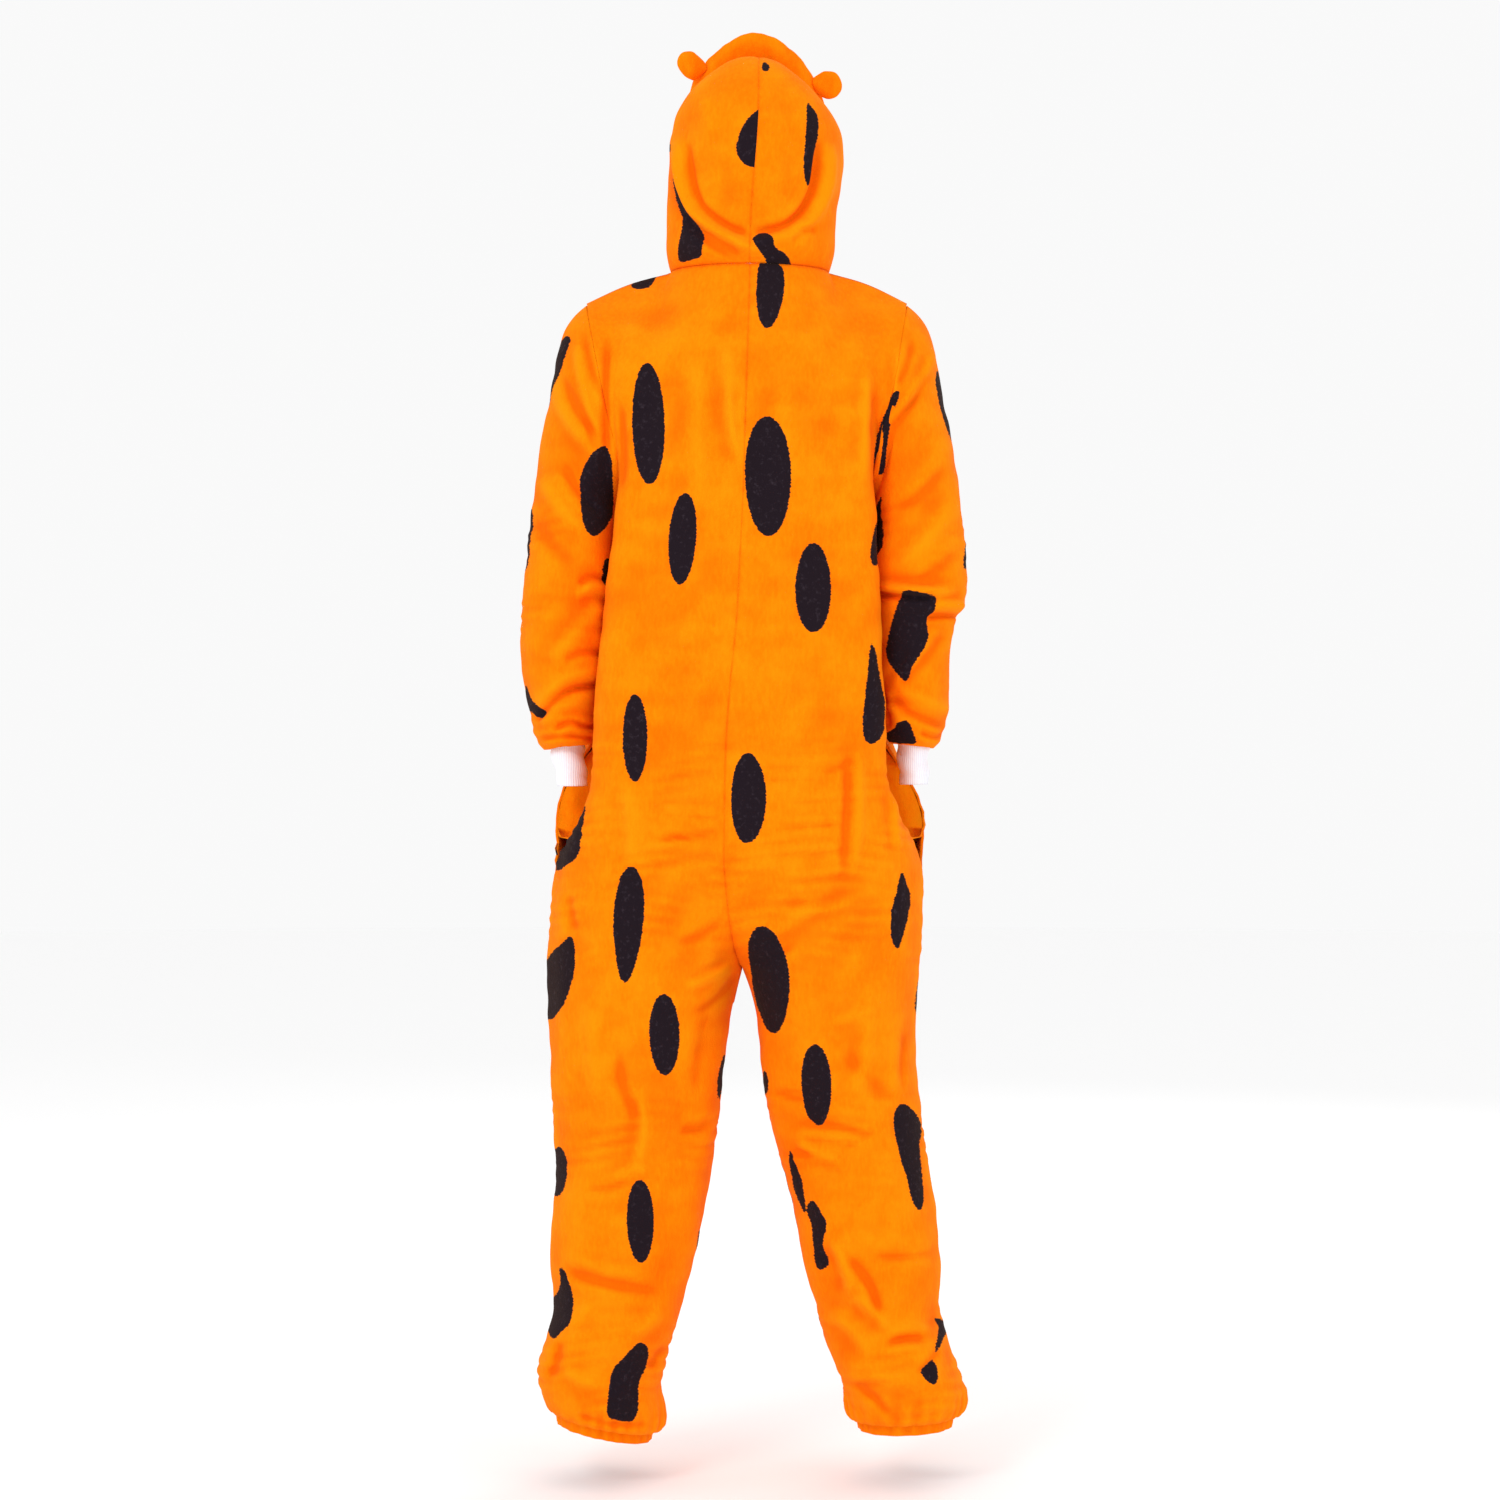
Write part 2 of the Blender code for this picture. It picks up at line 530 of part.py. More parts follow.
def add_folds(grid, normals, folds):
    return grid + normals * fold_rise(grid, normals, folds)[..., None]


def build_solid(name, points, faces, material):
    mesh = bpy.data.meshes.new(name)
    bm = bmesh.new()
    verts = [bm.verts.new(p) for p in points]
    for face in faces:
        bm.faces.new([verts[i] for i in face])
    bmesh.ops.recalc_face_normals(bm, faces=bm.faces)
    bm.to_mesh(mesh)
    bm.free()
    mesh.materials.append(material)
    mesh.shade_smooth()
    mesh.set_sharp_from_angle(angle=math.radians(50))
    obj = bpy.data.objects.new(name, mesh)
    bpy.context.scene.collection.objects.link(obj)
    return obj


def wall(name, outer, inner, material, closed=False):
    """A sheet of cloth between an outer and an inner grid of points. closed joins its two sides into a tube."""
    rows, columns = outer.shape[:2]
    size = rows * columns
    points = np.concatenate([outer.reshape(-1, 3), inner.reshape(-1, 3)])
    faces = []
    last = columns if closed else columns - 1
    for i in range(rows - 1):
        for j in range(last):
            k = (j + 1) % columns
            a, b, c, d = i * columns + j, i * columns + k, (i + 1) * columns + k, (i + 1) * columns + j
            faces.append((a, b, c, d))
            faces.append((d + size, c + size, b + size, a + size))
    for i in (0, rows - 1):
        for j in range(last):
            k = (j + 1) % columns
            a, b = i * columns + j, i * columns + k
            faces.append((a, a + size, b + size, b))
    if not closed:
        for j in (0, columns - 1):
            for i in range(rows - 1):
                a, b = i * columns + j, (i + 1) * columns + j
                faces.append((a, b, b + size, a + size))
    return build_solid(name, points, faces, material)


def unit(vectors):
    return vectors / np.maximum(np.linalg.norm(vectors, axis=-1, keepdims=True), 1e-9)


def pocket_share(z):
    """0 outside the pocket's mouth, 1 at its middle."""
    share = np.clip((POCKET_TOP_Z - z) / (POCKET_TOP_Z - POCKET_BOTTOM_Z), 0.0, 1.0)
    return np.sin(math.pi * share**POCKET_SKEW)


def open_pocket(grid, side, face):
    """Draws a panel's side edge away from the other panel's along the mouth of the pocket."""
    pull_x, pull_y = (POCKET_BACK_PULL if face == "back" else POCKET_FRONT_PULL)[side]
    columns = grid.shape[1] - 1
    nearness = smoothstep((np.arange(columns + 1) / columns - 0.55) / 0.45)
    share = pocket_share(grid[:, -1, 2])[:, None] * nearness[None, :]
    grid[..., 0] += side * pull_x * share
    grid[..., 1] += pull_y * share
    return grid


def make_body(side, material):
    """The back and front panel of one side, and the grids that other pieces are sewn to."""
    grids = {face: open_pocket(body_grid(side, face), side, face) for face in ("back", "front")}
    normals = {face: outward(grids[face], side, face) for face in grids}
    for face in grids:
        grids[face] = add_folds(grids[face], normals[face], FOLDS)
    share_seams(grids)
    normals = {face: outward(grids[face], side, face) for face in grids}
    share_normals(grids, normals)
    name = "left" if side > 0 else "right"
    inners = {}
    for face, grid in grids.items():
        outer = grid.copy()
        inner = grid - FLEECE * normals[face]
        part_seams(outer, inner, side, face)
        wall(f"{face}_{name}", outer, inner, material)
        inners[face] = inner
    return grids, normals, inners


def share_seams(grids):
    """Puts the edges of both panels on one line wherever they are sewn together."""
    back, front = grids["back"], grids["front"]
    rows = len(back)
    for i in range(YOKE_ROWS, rows):
        if pocket_share(back[i, -1, 2]) <= 0.02:
            middle = 0.5 * (back[i, -1] + front[i, -1])
            back[i, -1] = front[i, -1] = middle
    for i in range(FIRST_LEG_ROW, rows):
        middle = 0.5 * (back[i, 0] + front[i, 0])
        back[i, 0] = front[i, 0] = middle
    for i in range(YOKE_ROWS + 1):
        for face, grid in grids.items():
            grid[i, 0, 0] = 0.0
    shoulder_back = back[0, -(BACK_COLUMNS - round(BACK_COLUMNS * 0.5)) - 1 :]
    shoulder_front = front[0, -(FRONT_COLUMNS - round(FRONT_COLUMNS * 0.5)) - 1 :]
    line = evenly(shoulder_back, FRONT_COLUMNS - round(FRONT_COLUMNS * 0.5))
    shoulder_front[:] = line


def share_normals(grids, normals):
    """Walls that meet at a seam stand in the same direction there."""
    back, front = normals["back"], normals["front"]
    for i in range(YOKE_ROWS, len(back)):
        both = unit(back[i, -1] + front[i, -1])
        if pocket_share(grids["back"][i, -1, 2]) <= 0.02:
            back[i, -1] = front[i, -1] = both
    for i in range(FIRST_LEG_ROW, len(back)):
        both = unit(back[i, 0] + front[i, 0])
        back[i, 0] = front[i, 0] = both
    for normal in normals.values():
        normal[:FIRST_LEG_ROW, 0, 0] = 0.0
        normal[:FIRST_LEG_ROW, 0] = unit(normal[:FIRST_LEG_ROW, 0])
    half_back = BACK_COLUMNS - round(BACK_COLUMNS * 0.5)
    half_front = FRONT_COLUMNS - round(FRONT_COLUMNS * 0.5)
    upward = unit(back[0, -half_back - 1 :] * np.array([1.0, 0.0, 1.0]))
    back[0, -half_back - 1 :] = upward
    across = unit(front[0, -half_front - 1 :] * np.array([1.0, 0.0, 1.0]))
    front[0, -half_front - 1 :] = across
    back[0, -1] = front[0, -1] = unit(back[0, -1] + front[0, -1])
    corner = unit(back[0, -half_back - 1] + front[0, -half_front - 1])
    back[0, -half_back - 1] = front[0, -half_front - 1] = corner


def part_seams(outer, inner, side, face):
    """Draws a panel back from each seam by half the gap."""
    half = GAP / 2
    sign = 1.0 if face == "back" else -1.0
    for points in (outer, inner):
        points[:FIRST_LEG_ROW, 0, 0] += side * half
        points[FIRST_LEG_ROW:, 0, 1] += sign * half
        points[YOKE_ROWS:, -1, 1] += sign * half
        points[0, 1:, 1] += sign * half


def full_ring(back, front):
    """One closed ring from two halves that share their end points: out, behind, in, before."""
    return np.concatenate([back, front[-2:0:-1]])


def sleeve_ring(side, row):
    out_x, out_z, in_x, in_z, y, depth = row
    count = 2 * YOKE_ROWS
    turn = 2 * math.pi * np.arange(count) / count
    middle = np.array([side * (out_x + in_x) / 2, y, (out_z + in_z) / 2])
    outward_half = np.array([side * (out_x - in_x) / 2, 0.0, (out_z - in_z) / 2])
    return middle + np.cos(turn)[:, None] * outward_half + np.outer(np.sin(turn), [0.0, depth, 0.0])


def tube_normals(grid, side):
    """Normals of a tube whose columns run from the outer side round the back."""
    return (1.0 if side > 0 else -1.0) * face_normals(grid, closed=True)


def seam_normals(own, neighbour, away):
    """The direction of a wall at its seam: its own, unless it would then lean into its neighbour."""
    leans = np.sum(own * away, axis=-1) > np.sum(neighbour * away, axis=-1)
    return np.where(leans[:, None], neighbour, own)


def make_sleeve(side, grids, normals, materials):
    name = "left" if side > 0 else "right"
    armhole = full_ring(*(grids[face][: YOKE_ROWS + 1, -1] for face in ("back", "front")))
    armhole_normals = full_ring(*(normals[face][: YOKE_ROWS + 1, -1] for face in ("back", "front")))
    tip, low = armhole[0], armhole[YOKE_ROWS]
    away = unit(np.array([side * (tip[2] - low[2]), 0.0, -abs(tip[0] - low[0])]))
    rings = [armhole + 1.5 * GAP * away]
    rings += [sleeve_ring(side, row) for row in SLEEVE[side]]
    grid = np.stack(rings)
    own = tube_normals(grid, side)
    grid[1:] = add_folds(grid, own, FOLDS)[1:]
    own = tube_normals(grid, side)
    own[0] = seam_normals(own[0], armhole_normals, np.broadcast_to(away, own[0].shape))
    inner = grid - FLEECE * own
    inner[0] += 3 * GAP * away
    wall(f"sleeve_{name}", grid, inner, materials["orange_fleece"], closed=True)
    make_cuff(side, grid[-1], materials["white_jersey"])


def make_cuff(side, mouth, material):
    """A ribbed tube that starts inside the mouth of the sleeve."""
    name = "left" if side > 0 else "right"
    middle = mouth.mean(axis=0)
    spoke = mouth - middle
    spoke -= unit(spoke) * 1.5 * GAP
    shift_x, shift_y = CUFF_SHIFT[side]
    rows = []
    for share in (-0.14, 0.0, 0.30, 0.65, 1.0):
        along = max(share, 0.0)
        down = np.array([side * shift_x * along, shift_y * along, -CUFF_LENGTH * share])
        ring = middle + spoke * (1 + (CUFF_TAPER - 1) * along) + down
        ring[:, 2] -= spoke[:, 2] * 0.9 * along
        rows.append(ring)
    grid = np.stack(rows)
    inner = grid - JERSEY * unit(spoke * np.array([1.0, 1.0, 0.0]))
    wall(f"cuff_{name}", grid, inner, material, closed=True)


def make_hem(side, material):
    """A gathered band of cloth round the ankle that starts inside the foot of the leg."""
    name = "left" if side > 0 else "right"
    rows = []
    for i, (drop, size) in enumerate(HEM_BAND):
        back = hem_ring(side, "back", BACK_COLUMNS, drop, size)[::-1]
        front = hem_ring(side, "front", FRONT_COLUMNS, drop, size)[::-1]
        ring = full_ring(back, front)
        middle = ring.mean(axis=0)
        gather = HEM_GATHER * i / (len(HEM_BAND) - 1) * np.cos(math.pi * np.arange(len(ring)))
        rows.append(ring + unit((ring - middle) * np.array([1.0, 1.0, 0.0])) * gather[:, None])
    grid = np.stack(rows)
    inward = unit((grid - grid.mean(axis=1, keepdims=True)) * np.array([1.0, 1.0, 0.0]))
    wall(f"hem_{name}", grid, grid - FLEECE * inward, material, closed=True)


def away_from(edge, beside, normals):
    """Directions that lead off a panel over its edge, within its own surface."""
    along = unit(np.gradient(edge, axis=0))
    off = edge - beside
    off -= along * np.sum(off * along, axis=1, keepdims=True)
    off -= normals * np.sum(off * normals, axis=1, keepdims=True)
    return unit(off)


def hood_row(side, row, back_count, front_count):
    """From the centre seam round the side to the face edge."""
    back_y, back_z, side_x, side_y, side_z, face_x, face_y, face_z = row
    turn = np.linspace(0.0, math.pi / 2, 25)
    rear = np.stack([side_x * np.sin(turn) ** 0.9, side_y + (back_y - side_y) * np.cos(turn) ** 0.9,
                     side_z + (back_z - side_z) * np.cos(turn) ** 2], axis=1)
    fore = np.stack([face_x + (side_x - face_x) * np.cos(turn), side_y + (face_y - side_y) * np.sin(turn),
                     side_z + (face_z - side_z) * np.sin(turn) ** 2], axis=1)
    line = np.concatenate([evenly(rear, back_count), evenly(fore, front_count)[1:]])
    line[:, 0] *= side
    return line


def lean_hood(points):
    """The head is tipped a little to one side."""
    share = smoothstep((points[..., 2] - HOOD_LEAN_START_Z) / (HOOD_LEAN_END_Z - HOOD_LEAN_START_Z))
    turned = points.copy()
    turned[..., 0] += share * HOOD_LEAN_X
    turned[..., 2] += share * HOOD_ROLL * points[..., 0]
    return turned


def make_hood_half(side, grids, normals, material):
    name = "left" if side > 0 else "right"
    back_count, front_count = round(BACK_COLUMNS * 0.5), round(FRONT_COLUMNS * 0.5)
    parts = []
    for source in (grids, normals):
        parts.append(np.concatenate([source["back"][0, : back_count + 1],
                                     source["front"][0, :front_count][::-1]]))
    neck, neck_normals = parts
    beside = np.concatenate([grids["back"][1, : back_count + 1], grids["front"][1, :front_count][::-1]])
    away = away_from(neck, beside, neck_normals)
    rows = [neck + 1.5 * GAP * away]
    rows += [hood_row(side, row, back_count, front_count) for row in HOOD]
    grid = np.stack(rows)
    flip = -1.0 if side > 0 else 1.0
    own = -flip * face_normals(grid)
    own = upright_at_centre(own)
    grid[1:] = add_folds(grid, own, HOOD_FOLDS)[1:]
    own = upright_at_centre(-flip * face_normals(grid))
    own[0] = seam_normals(own[0], neck_normals, away)
    inner = grid - FLEECE * own
    for points in (grid, inner):
        points[:, 0, 0] = side * GAP / 2
        points[0, -1, 0] = side * GAP / 2
    wall(f"hood_{name}", lean_hood(grid), lean_hood(inner), material)


def upright_at_centre(normals):
    normals[:, 0, 0] = 0.0
    normals[:, 0] = unit(normals[:, 0])
    return normals


def make_brim(material):
    """A padded arch over the face, from ear to ear: sewn down at its base, its rim leaning back."""
    half = np.array(BRIM)
    mirror = np.array([-1.0, 1.0, 1.0, -1.0, 1.0, 1.0, 1.0])
    rows = np.concatenate([half[:0:-1] * mirror, half])
    base, rim, thickness = rows[:, 0:3], rows[:, 3:6], rows[:, 6:]
    middle, reach = 0.5 * (base + rim), 0.5 * (rim - base)
    ahead = unit(np.gradient(middle, axis=0))
    across = unit(np.cross(ahead, reach)) * thickness
    turn = 2 * math.pi * np.arange(BRIM_SEGMENTS) / BRIM_SEGMENTS
    grid = (middle[:, None] + np.cos(turn)[None, :, None] * reach[:, None]
            + np.sin(turn)[None, :, None] * across[:, None])
    points = grid.reshape(-1, 3)
    faces = []
    for i in range(len(grid) - 1):
        for j in range(BRIM_SEGMENTS):
            a, b = i * BRIM_SEGMENTS + j, i * BRIM_SEGMENTS + (j + 1) % BRIM_SEGMENTS
            faces.append((a, b, b + BRIM_SEGMENTS, a + BRIM_SEGMENTS))
    ends = [middle[0] - 0.004 * ahead[0], middle[-1] + 0.004 * ahead[-1]]
    for end, start in ((0, 0), (1, len(points) - BRIM_SEGMENTS)):
        for j in range(BRIM_SEGMENTS):
            faces.append((start + j, start + (j + 1) % BRIM_SEGMENTS, len(points) + end))
    build_solid("brim", lean_hood(np.concatenate([points, ends])), faces, material)


def make_ear(side, material):
    """A small padded ear, cut straight where it is sewn to the hood."""
    name = "left" if side > 0 else "right"
    up = np.array([side * math.sin(EAR_LEAN), 0.0, math.cos(EAR_LEAN)])
    across = np.array([math.cos(EAR_LEAN), 0.0, -side * math.sin(EAR_LEAN)])
    base = np.array(EAR_BASE[side]) * np.array([side, 1.0, 1.0])
    turn = np.radians(np.linspace(-140.0, 140.0, 13))
    wide = EAR_HALF_WIDTH * np.sin(turn)
    reach_from = EAR_REACH / (1 - math.cos(math.radians(140.0)))
    high = reach_from * (np.cos(turn) - math.cos(math.radians(140.0)))
    outline = base + np.outer(wide, across) + np.outer(high, up)
    middle = base + 0.42 * EAR_REACH * up
    points, faces = [], []
    for size, thick in ((1.0, 0.25), (0.72, 0.85), (0.0, 1.0)):
        for way in (1, -1):
            offset = np.array([0.0, way * thick * EAR_HALF_THICKNESS, 0.0])
            ring = middle + (outline - middle) * max(size, 0.25) + offset
            points.append(ring)
    count = len(outline)
    for a, b in ((0, 2), (1, 3), (2, 4), (3, 5), (0, 1)):
        for j in range(count):
            k = (j + 1) % count
            faces.append((a * count + j, a * count + k, b * count + k, b * count + j))
    faces.append(tuple(range(4 * count, 5 * count)))
    faces.append(tuple(range(5 * count, 6 * count)))
    build_solid(f"ear_{name}", lean_hood(np.concatenate(points)), faces, material)


def make_pocket(side, grids, normals, inners, material):
    """A bag that hangs inside from the edges of the slit."""
    name = "left" if side > 0 else "right"
    open_rows = [i for i in range(len(inners["back"])) if pocket_share(grids["back"][i, -1, 2]) > 0.02]
    mouth = [inners["back"][i, -1] for i in open_rows] + [inners["front"][i, -1] for i in open_rows[::-1]]
    edge = [normals["back"][i, -1] for i in open_rows] + [normals["front"][i, -1] for i in open_rows[::-1]]
    mouth, edge = np.array(mouth), unit(np.array(edge))
    count = len(mouth)
    rings = [mouth - 2 * GAP * edge]
    middle = mouth.mean(axis=0)
    bearing = np.arctan2(mouth[:, 2] - middle[2], mouth[:, 1] - middle[1])
    for x, y, z, half_height, half_width in POCKET:
        centre = np.array([side * x + grids["back"][open_rows[0], 0, 0], y, z])
        wide = unit(np.array([side * 0.55, 1.0, 0.0]))
        rings.append(centre + np.outer(np.cos(bearing) * half_width, wide)
                     + np.outer(np.sin(bearing) * half_height, [0.0, 0.0, 1.0]))
    grid = np.stack(rings)
    own = tube_normals(grid, side)
    own *= math.copysign(1.0, np.sum(own * (grid - grid.mean(axis=1, keepdims=True))))
    outer = grid + POCKET_CLOTH * own
    outer[0] = grid[0] + POCKET_CLOTH * unit(own[0] - edge * np.sum(own[0] * edge, axis=1, keepdims=True))
    outer[-1] += unit(grid[-1].mean(axis=0) - grid[-2].mean(axis=0)) * POCKET_CLOTH
    size = grid.shape[0] * count
    points = np.concatenate([outer.reshape(-1, 3), grid.reshape(-1, 3)])
    faces = []
    for i in range(len(grid) - 1):
        for j in range(count):
            k = (j + 1) % count
            a, b, c, d = i * count + j, i * count + k, (i + 1) * count + k, (i + 1) * count + j
            faces.append((a, b, c, d))
            faces.append((d + size, c + size, b + size, a + size))
    for j in range(count):
        k = (j + 1) % count
        faces.append((j, k, k + size, j + size))
    last = (len(grid) - 1) * count
    faces.append(tuple(last + j for j in range(count)))
    faces.append(tuple(size + last + j for j in range(count)))
    build_solid(f"pocket_{name}", points, faces, material)


def make_placket(body, material):
    """A strip moved out from the front panels, over the seam where they meet."""
    left, right = (body[side][0]["front"] for side in (1, -1))
    left_up, right_up = (body[side][1]["front"] for side in (1, -1))
    rows = slice(1, placket_rows(left))
    grid = np.stack([right[rows, 1], 0.5 * (left[rows, 0] + right[rows, 0]), left[rows, 1]], axis=1)
    ups = unit(np.stack([right_up[rows, 1], left_up[rows, 0] + right_up[rows, 0], left_up[rows, 1]], axis=1))
    low = grid + PLACKET_CLEAR * ups
    top = low + PLACKET_THICKNESS * ups
    wall("placket", top, low, material)
    return top


def make_buttons(strip, material):
    """Round buttons that stand clear of the placket, each midway between two of its rows."""
    for number in range(1, BUTTON_COUNT + 1):
        i = round((0.10 + 0.84 * (number - 1) / (BUTTON_COUNT - 1)) * (len(strip) - 2))
        patch = strip[i : i + 2]
        middle = patch[:, 1].mean(axis=0)
        up = unit(np.cross((patch[1] - patch[0]).mean(axis=0), (patch[:, 2] - patch[:, 0]).mean(axis=0)))
        up *= math.copysign(1.0, -up[1])
        clear = max(np.dot(point - middle, up) for point in patch.reshape(-1, 3)) + BUTTON_CLEAR
        centre = middle + up * (clear + BUTTON_THICKNESS / 2)
        bm = bmesh.new()
        bmesh.ops.create_cone(bm, cap_ends=True, segments=16, radius1=BUTTON_RADIUS,
                              radius2=BUTTON_RADIUS, depth=BUTTON_THICKNESS)
        turn = Vector((0.0, 0.0, 1.0)).rotation_difference(Vector(up)).to_matrix()
        bmesh.ops.rotate(bm, verts=bm.verts, cent=(0.0, 0.0, 0.0), matrix=turn)
        bmesh.ops.translate(bm, verts=bm.verts, vec=Vector(centre))
        mesh = bpy.data.meshes.new(f"button_{number}")
        bm.to_mesh(mesh)
        bm.free()
        mesh.materials.append(material)
        obj = bpy.data.objects.new(f"button_{number}", mesh)
        bpy.context.scene.collection.objects.link(obj)


def main():
    clear_scene()
    materials = make_materials()
    fleece = materials["orange_fleece"]
    body = {side: make_body(side, fleece) for side in (1, -1)}
    for side, (grids, normals, inners) in body.items():
        make_sleeve(side, grids, normals, materials)
        make_hem(side, fleece)
        make_hood_half(side, grids, normals, fleece)
        make_ear(side, fleece)
        make_pocket(side, grids, normals, inners, fleece)
    make_brim(fleece)
    make_buttons(make_placket(body, fleece), materials["orange_button"])


main()
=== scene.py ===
"""Looks of a hooded onesie in orange flannel fleece with a print of long black ovals.

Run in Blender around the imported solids. Metres, +Z up, the front towards -Y. The tables are in millimetres, as
the garment is seen from behind: x to its own left, z above the base of the neck.
"""

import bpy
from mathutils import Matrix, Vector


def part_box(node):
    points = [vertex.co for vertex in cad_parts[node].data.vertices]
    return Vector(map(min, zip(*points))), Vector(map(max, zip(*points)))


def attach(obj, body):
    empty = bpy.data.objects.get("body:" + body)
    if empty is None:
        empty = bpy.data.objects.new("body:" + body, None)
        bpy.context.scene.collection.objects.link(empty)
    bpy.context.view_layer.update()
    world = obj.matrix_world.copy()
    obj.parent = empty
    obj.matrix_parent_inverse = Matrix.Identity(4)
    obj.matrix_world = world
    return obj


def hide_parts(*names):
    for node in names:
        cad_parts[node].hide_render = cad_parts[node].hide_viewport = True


bl_info = {
    "name": "Spotted Fleece Onesie",
    "version": (1, 0, 0),
    "blender": (4, 5, 0),
    "location": "3D View > Sidebar > Onesie",
    "description": "Dresses the solids of a hooded fleece onesie with creases, print, ribs, seams and buttons",
    "category": "Add Mesh",
}

import math

import bmesh
import bpy
import numpy as np
from mathutils import Matrix, Vector
from mathutils.bvhtree import BVHTree
from mathutils.kdtree import KDTree

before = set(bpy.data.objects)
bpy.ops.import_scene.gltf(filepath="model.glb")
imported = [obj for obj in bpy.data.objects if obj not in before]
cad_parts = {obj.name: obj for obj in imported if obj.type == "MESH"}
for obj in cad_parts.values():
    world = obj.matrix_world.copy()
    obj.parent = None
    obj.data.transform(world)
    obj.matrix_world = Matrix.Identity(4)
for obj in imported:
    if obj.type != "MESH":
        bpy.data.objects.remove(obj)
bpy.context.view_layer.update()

MM = 0.001
SIDES = {"left": 1, "right": -1}
BODY_NODES = [f"{part}_{side}" for side in SIDES for part in ("back", "front")]
FLEECE_NODES = BODY_NODES + [f"{part}_{side}" for side in SIDES for part in ("sleeve", "hood")]

# Creases, seen from behind: x1, z1, x2 and z2 of a line, how far it bows to its left, its width and the
# rise of the cloth along it. A row of three has a width, a rise and the points that the line runs through
BACK_CREASES = (
    # yoke, armpits and the middle of the back
    (28, -45, -2, -210, 6, 11, 3.5),
    (14, -100, 2, -190, 4, 6, -2.5),
    (62, -60, 54, -260, 5, 16, 2.0),
    (-44, -90, -40, -260, -4, 15, 1.8),
    (218, -46, 184, -172, 6, 7, 3.5),
    (208, -36, 176, -130, 6, 6, -2.5),
    (236, -84, 186, -170, 8, 7, -3.0),
    (244, -110, 190, -192, 8, 8, 2.5),
    (178, -34, 177, -212, 3, 6, -3.0),
    (163, -120, 161, -245, -3, 6, -3.0),
    (-232, -56, -186, -134, -6, 6, 3.5),
    (-222, -82, -174, -160, -6, 6, -3.0),
    (-204, -44, -180, -112, -4, 6, -2.5),
    (-181, -56, -180, -120, -2, 5, 2.5),
    (-158, -100, -155, -240, 2, 7, -2.6),
    (-148, -70, -144, -220, 2, 8, 2.0),
    (-178, -150, -166, -230, 2, 6, -2.0),
    # waist, seat and crotch
    (119, -675, 40, -669, -3, 4, -1.8),
    (116, -655, 28, -654, 2, 5, 1.4),
    (119, -630, 30, -637, 3, 5, 1.3),
    (104, -700, 24, -694, -3, 6, -1.3),
    (-38, -684, -124, -676, 3, 5, 1.6),
    (-34, -657, -118, -655, -2, 5, -1.4),
    (-46, -612, -110, -618, 3, 5, 1.2),
    (-92, -587, -134, -570, 3, 5, -1.8),
    (-40, -716, -128, -704, 4, 6, 1.6),
    (-38, -750, -134, -736, 4, 7, -1.6),
    (-30, -770, -134, -748, 4, 6, 1.4),
    (-136, -550, -128, -722, -4, 9, 3.0),
    (-122, -560, -116, -730, -3, 8, -2.0),
    (-182, -604, -187, -690, 3, 6, 2.5),
    (154, -600, 148, -708, -3, 10, 2.0),
    (226, -738, 218, -790, 3, 7, -2.5),
    (16, -822, 84, -856, -6, 7, 3.5),
    (18, -836, 74, -890, -8, 6, -3.0),
    (26, -772, 96, -802, -5, 8, -2.0),
    (-2, -800, -90, -740, 10, 9, 2.2),
    (-4, -826, -60, -800, 6, 6, -2.2),
    # thighs and knees
    (162, -930, 138, -1022, 10, 9, -2.5),
    (140, -984, 148, -1090, -12, 9, 3.0),
    (196, -870, 188, -1010, 4, 14, 2.0),
    (90, -1035, 46, -1028, 4, 6, -2.5),
    (86, -1022, 50, -1012, 3, 6, 1.8),
    (126, -1084, 170, -1098, 5, 7, 2.2),
    (210, -1108, 150, -1098, 5, 7, -2.2),
    (52, -880, 66, -1000, 5, 10, -2.0),
    (-24, -984, -72, -998, 3, 5, -1.6),
    (-30, -972, -66, -980, 3, 4, 1.2),
    (-54, -1044, -114, -1070, 6, 7, 3.2),
    (-50, -1028, -152, -1042, -6, 7, -2.6),
    (-116, -1056, -160, -1030, 4, 8, -1.8),
    (-195, -908, -191, -988, 3, 6, -2.5),
    (-150, -880, -130, -1000, -6, 12, 2.2),
    (-120, -930, -186, -1000, 8, 12, -1.8),
    (-98, -900, -160, -880, 4, 7, 1.4),
    # calves and ankles
    (240, -1206, 104, -1236, 8, 8, -2.6),
    (236, -1190, 130, -1214, 6, 9, 2.2),
    (238, -1296, 254, -1350, -4, 8, -4.0),
    (228, -1280, 196, -1256, -5, 10, 2.5),
    (126, -1338, 100, -1300, -3, 7, -3.0),
    (150, -1290, 110, -1260, 4, 9, 2.0),
    (232, -1330, 190, -1352, 6, 8, 2.5),
    (224, -1386, 120, -1402, 9, 5, -2.0),
    (-97, -1170, -124, -1245, -8, 8, 4.0),
    (-124, -1245, -172, -1288, -8, 8, 4.5),
    (-172, -1290, -226, -1283, -6, 8, 4.0),
    (-112, -1190, -160, -1286, -16, 8, -4.0),
    (-168, -1304, -222, -1300, -5, 7, -3.5),
    (-152, -1192, -232, -1188, 4, 6, -2.0),
    (-96, -1262, -150, -1320, -8, 10, 2.8),
    (-126, -1352, -178, -1398, -6, 7, -3.2),
    (-236, -1304, -206, -1340, -5, 7, -3.0),
    (-140, -1330, -220, -1350, 8, 12, 2.2),
)
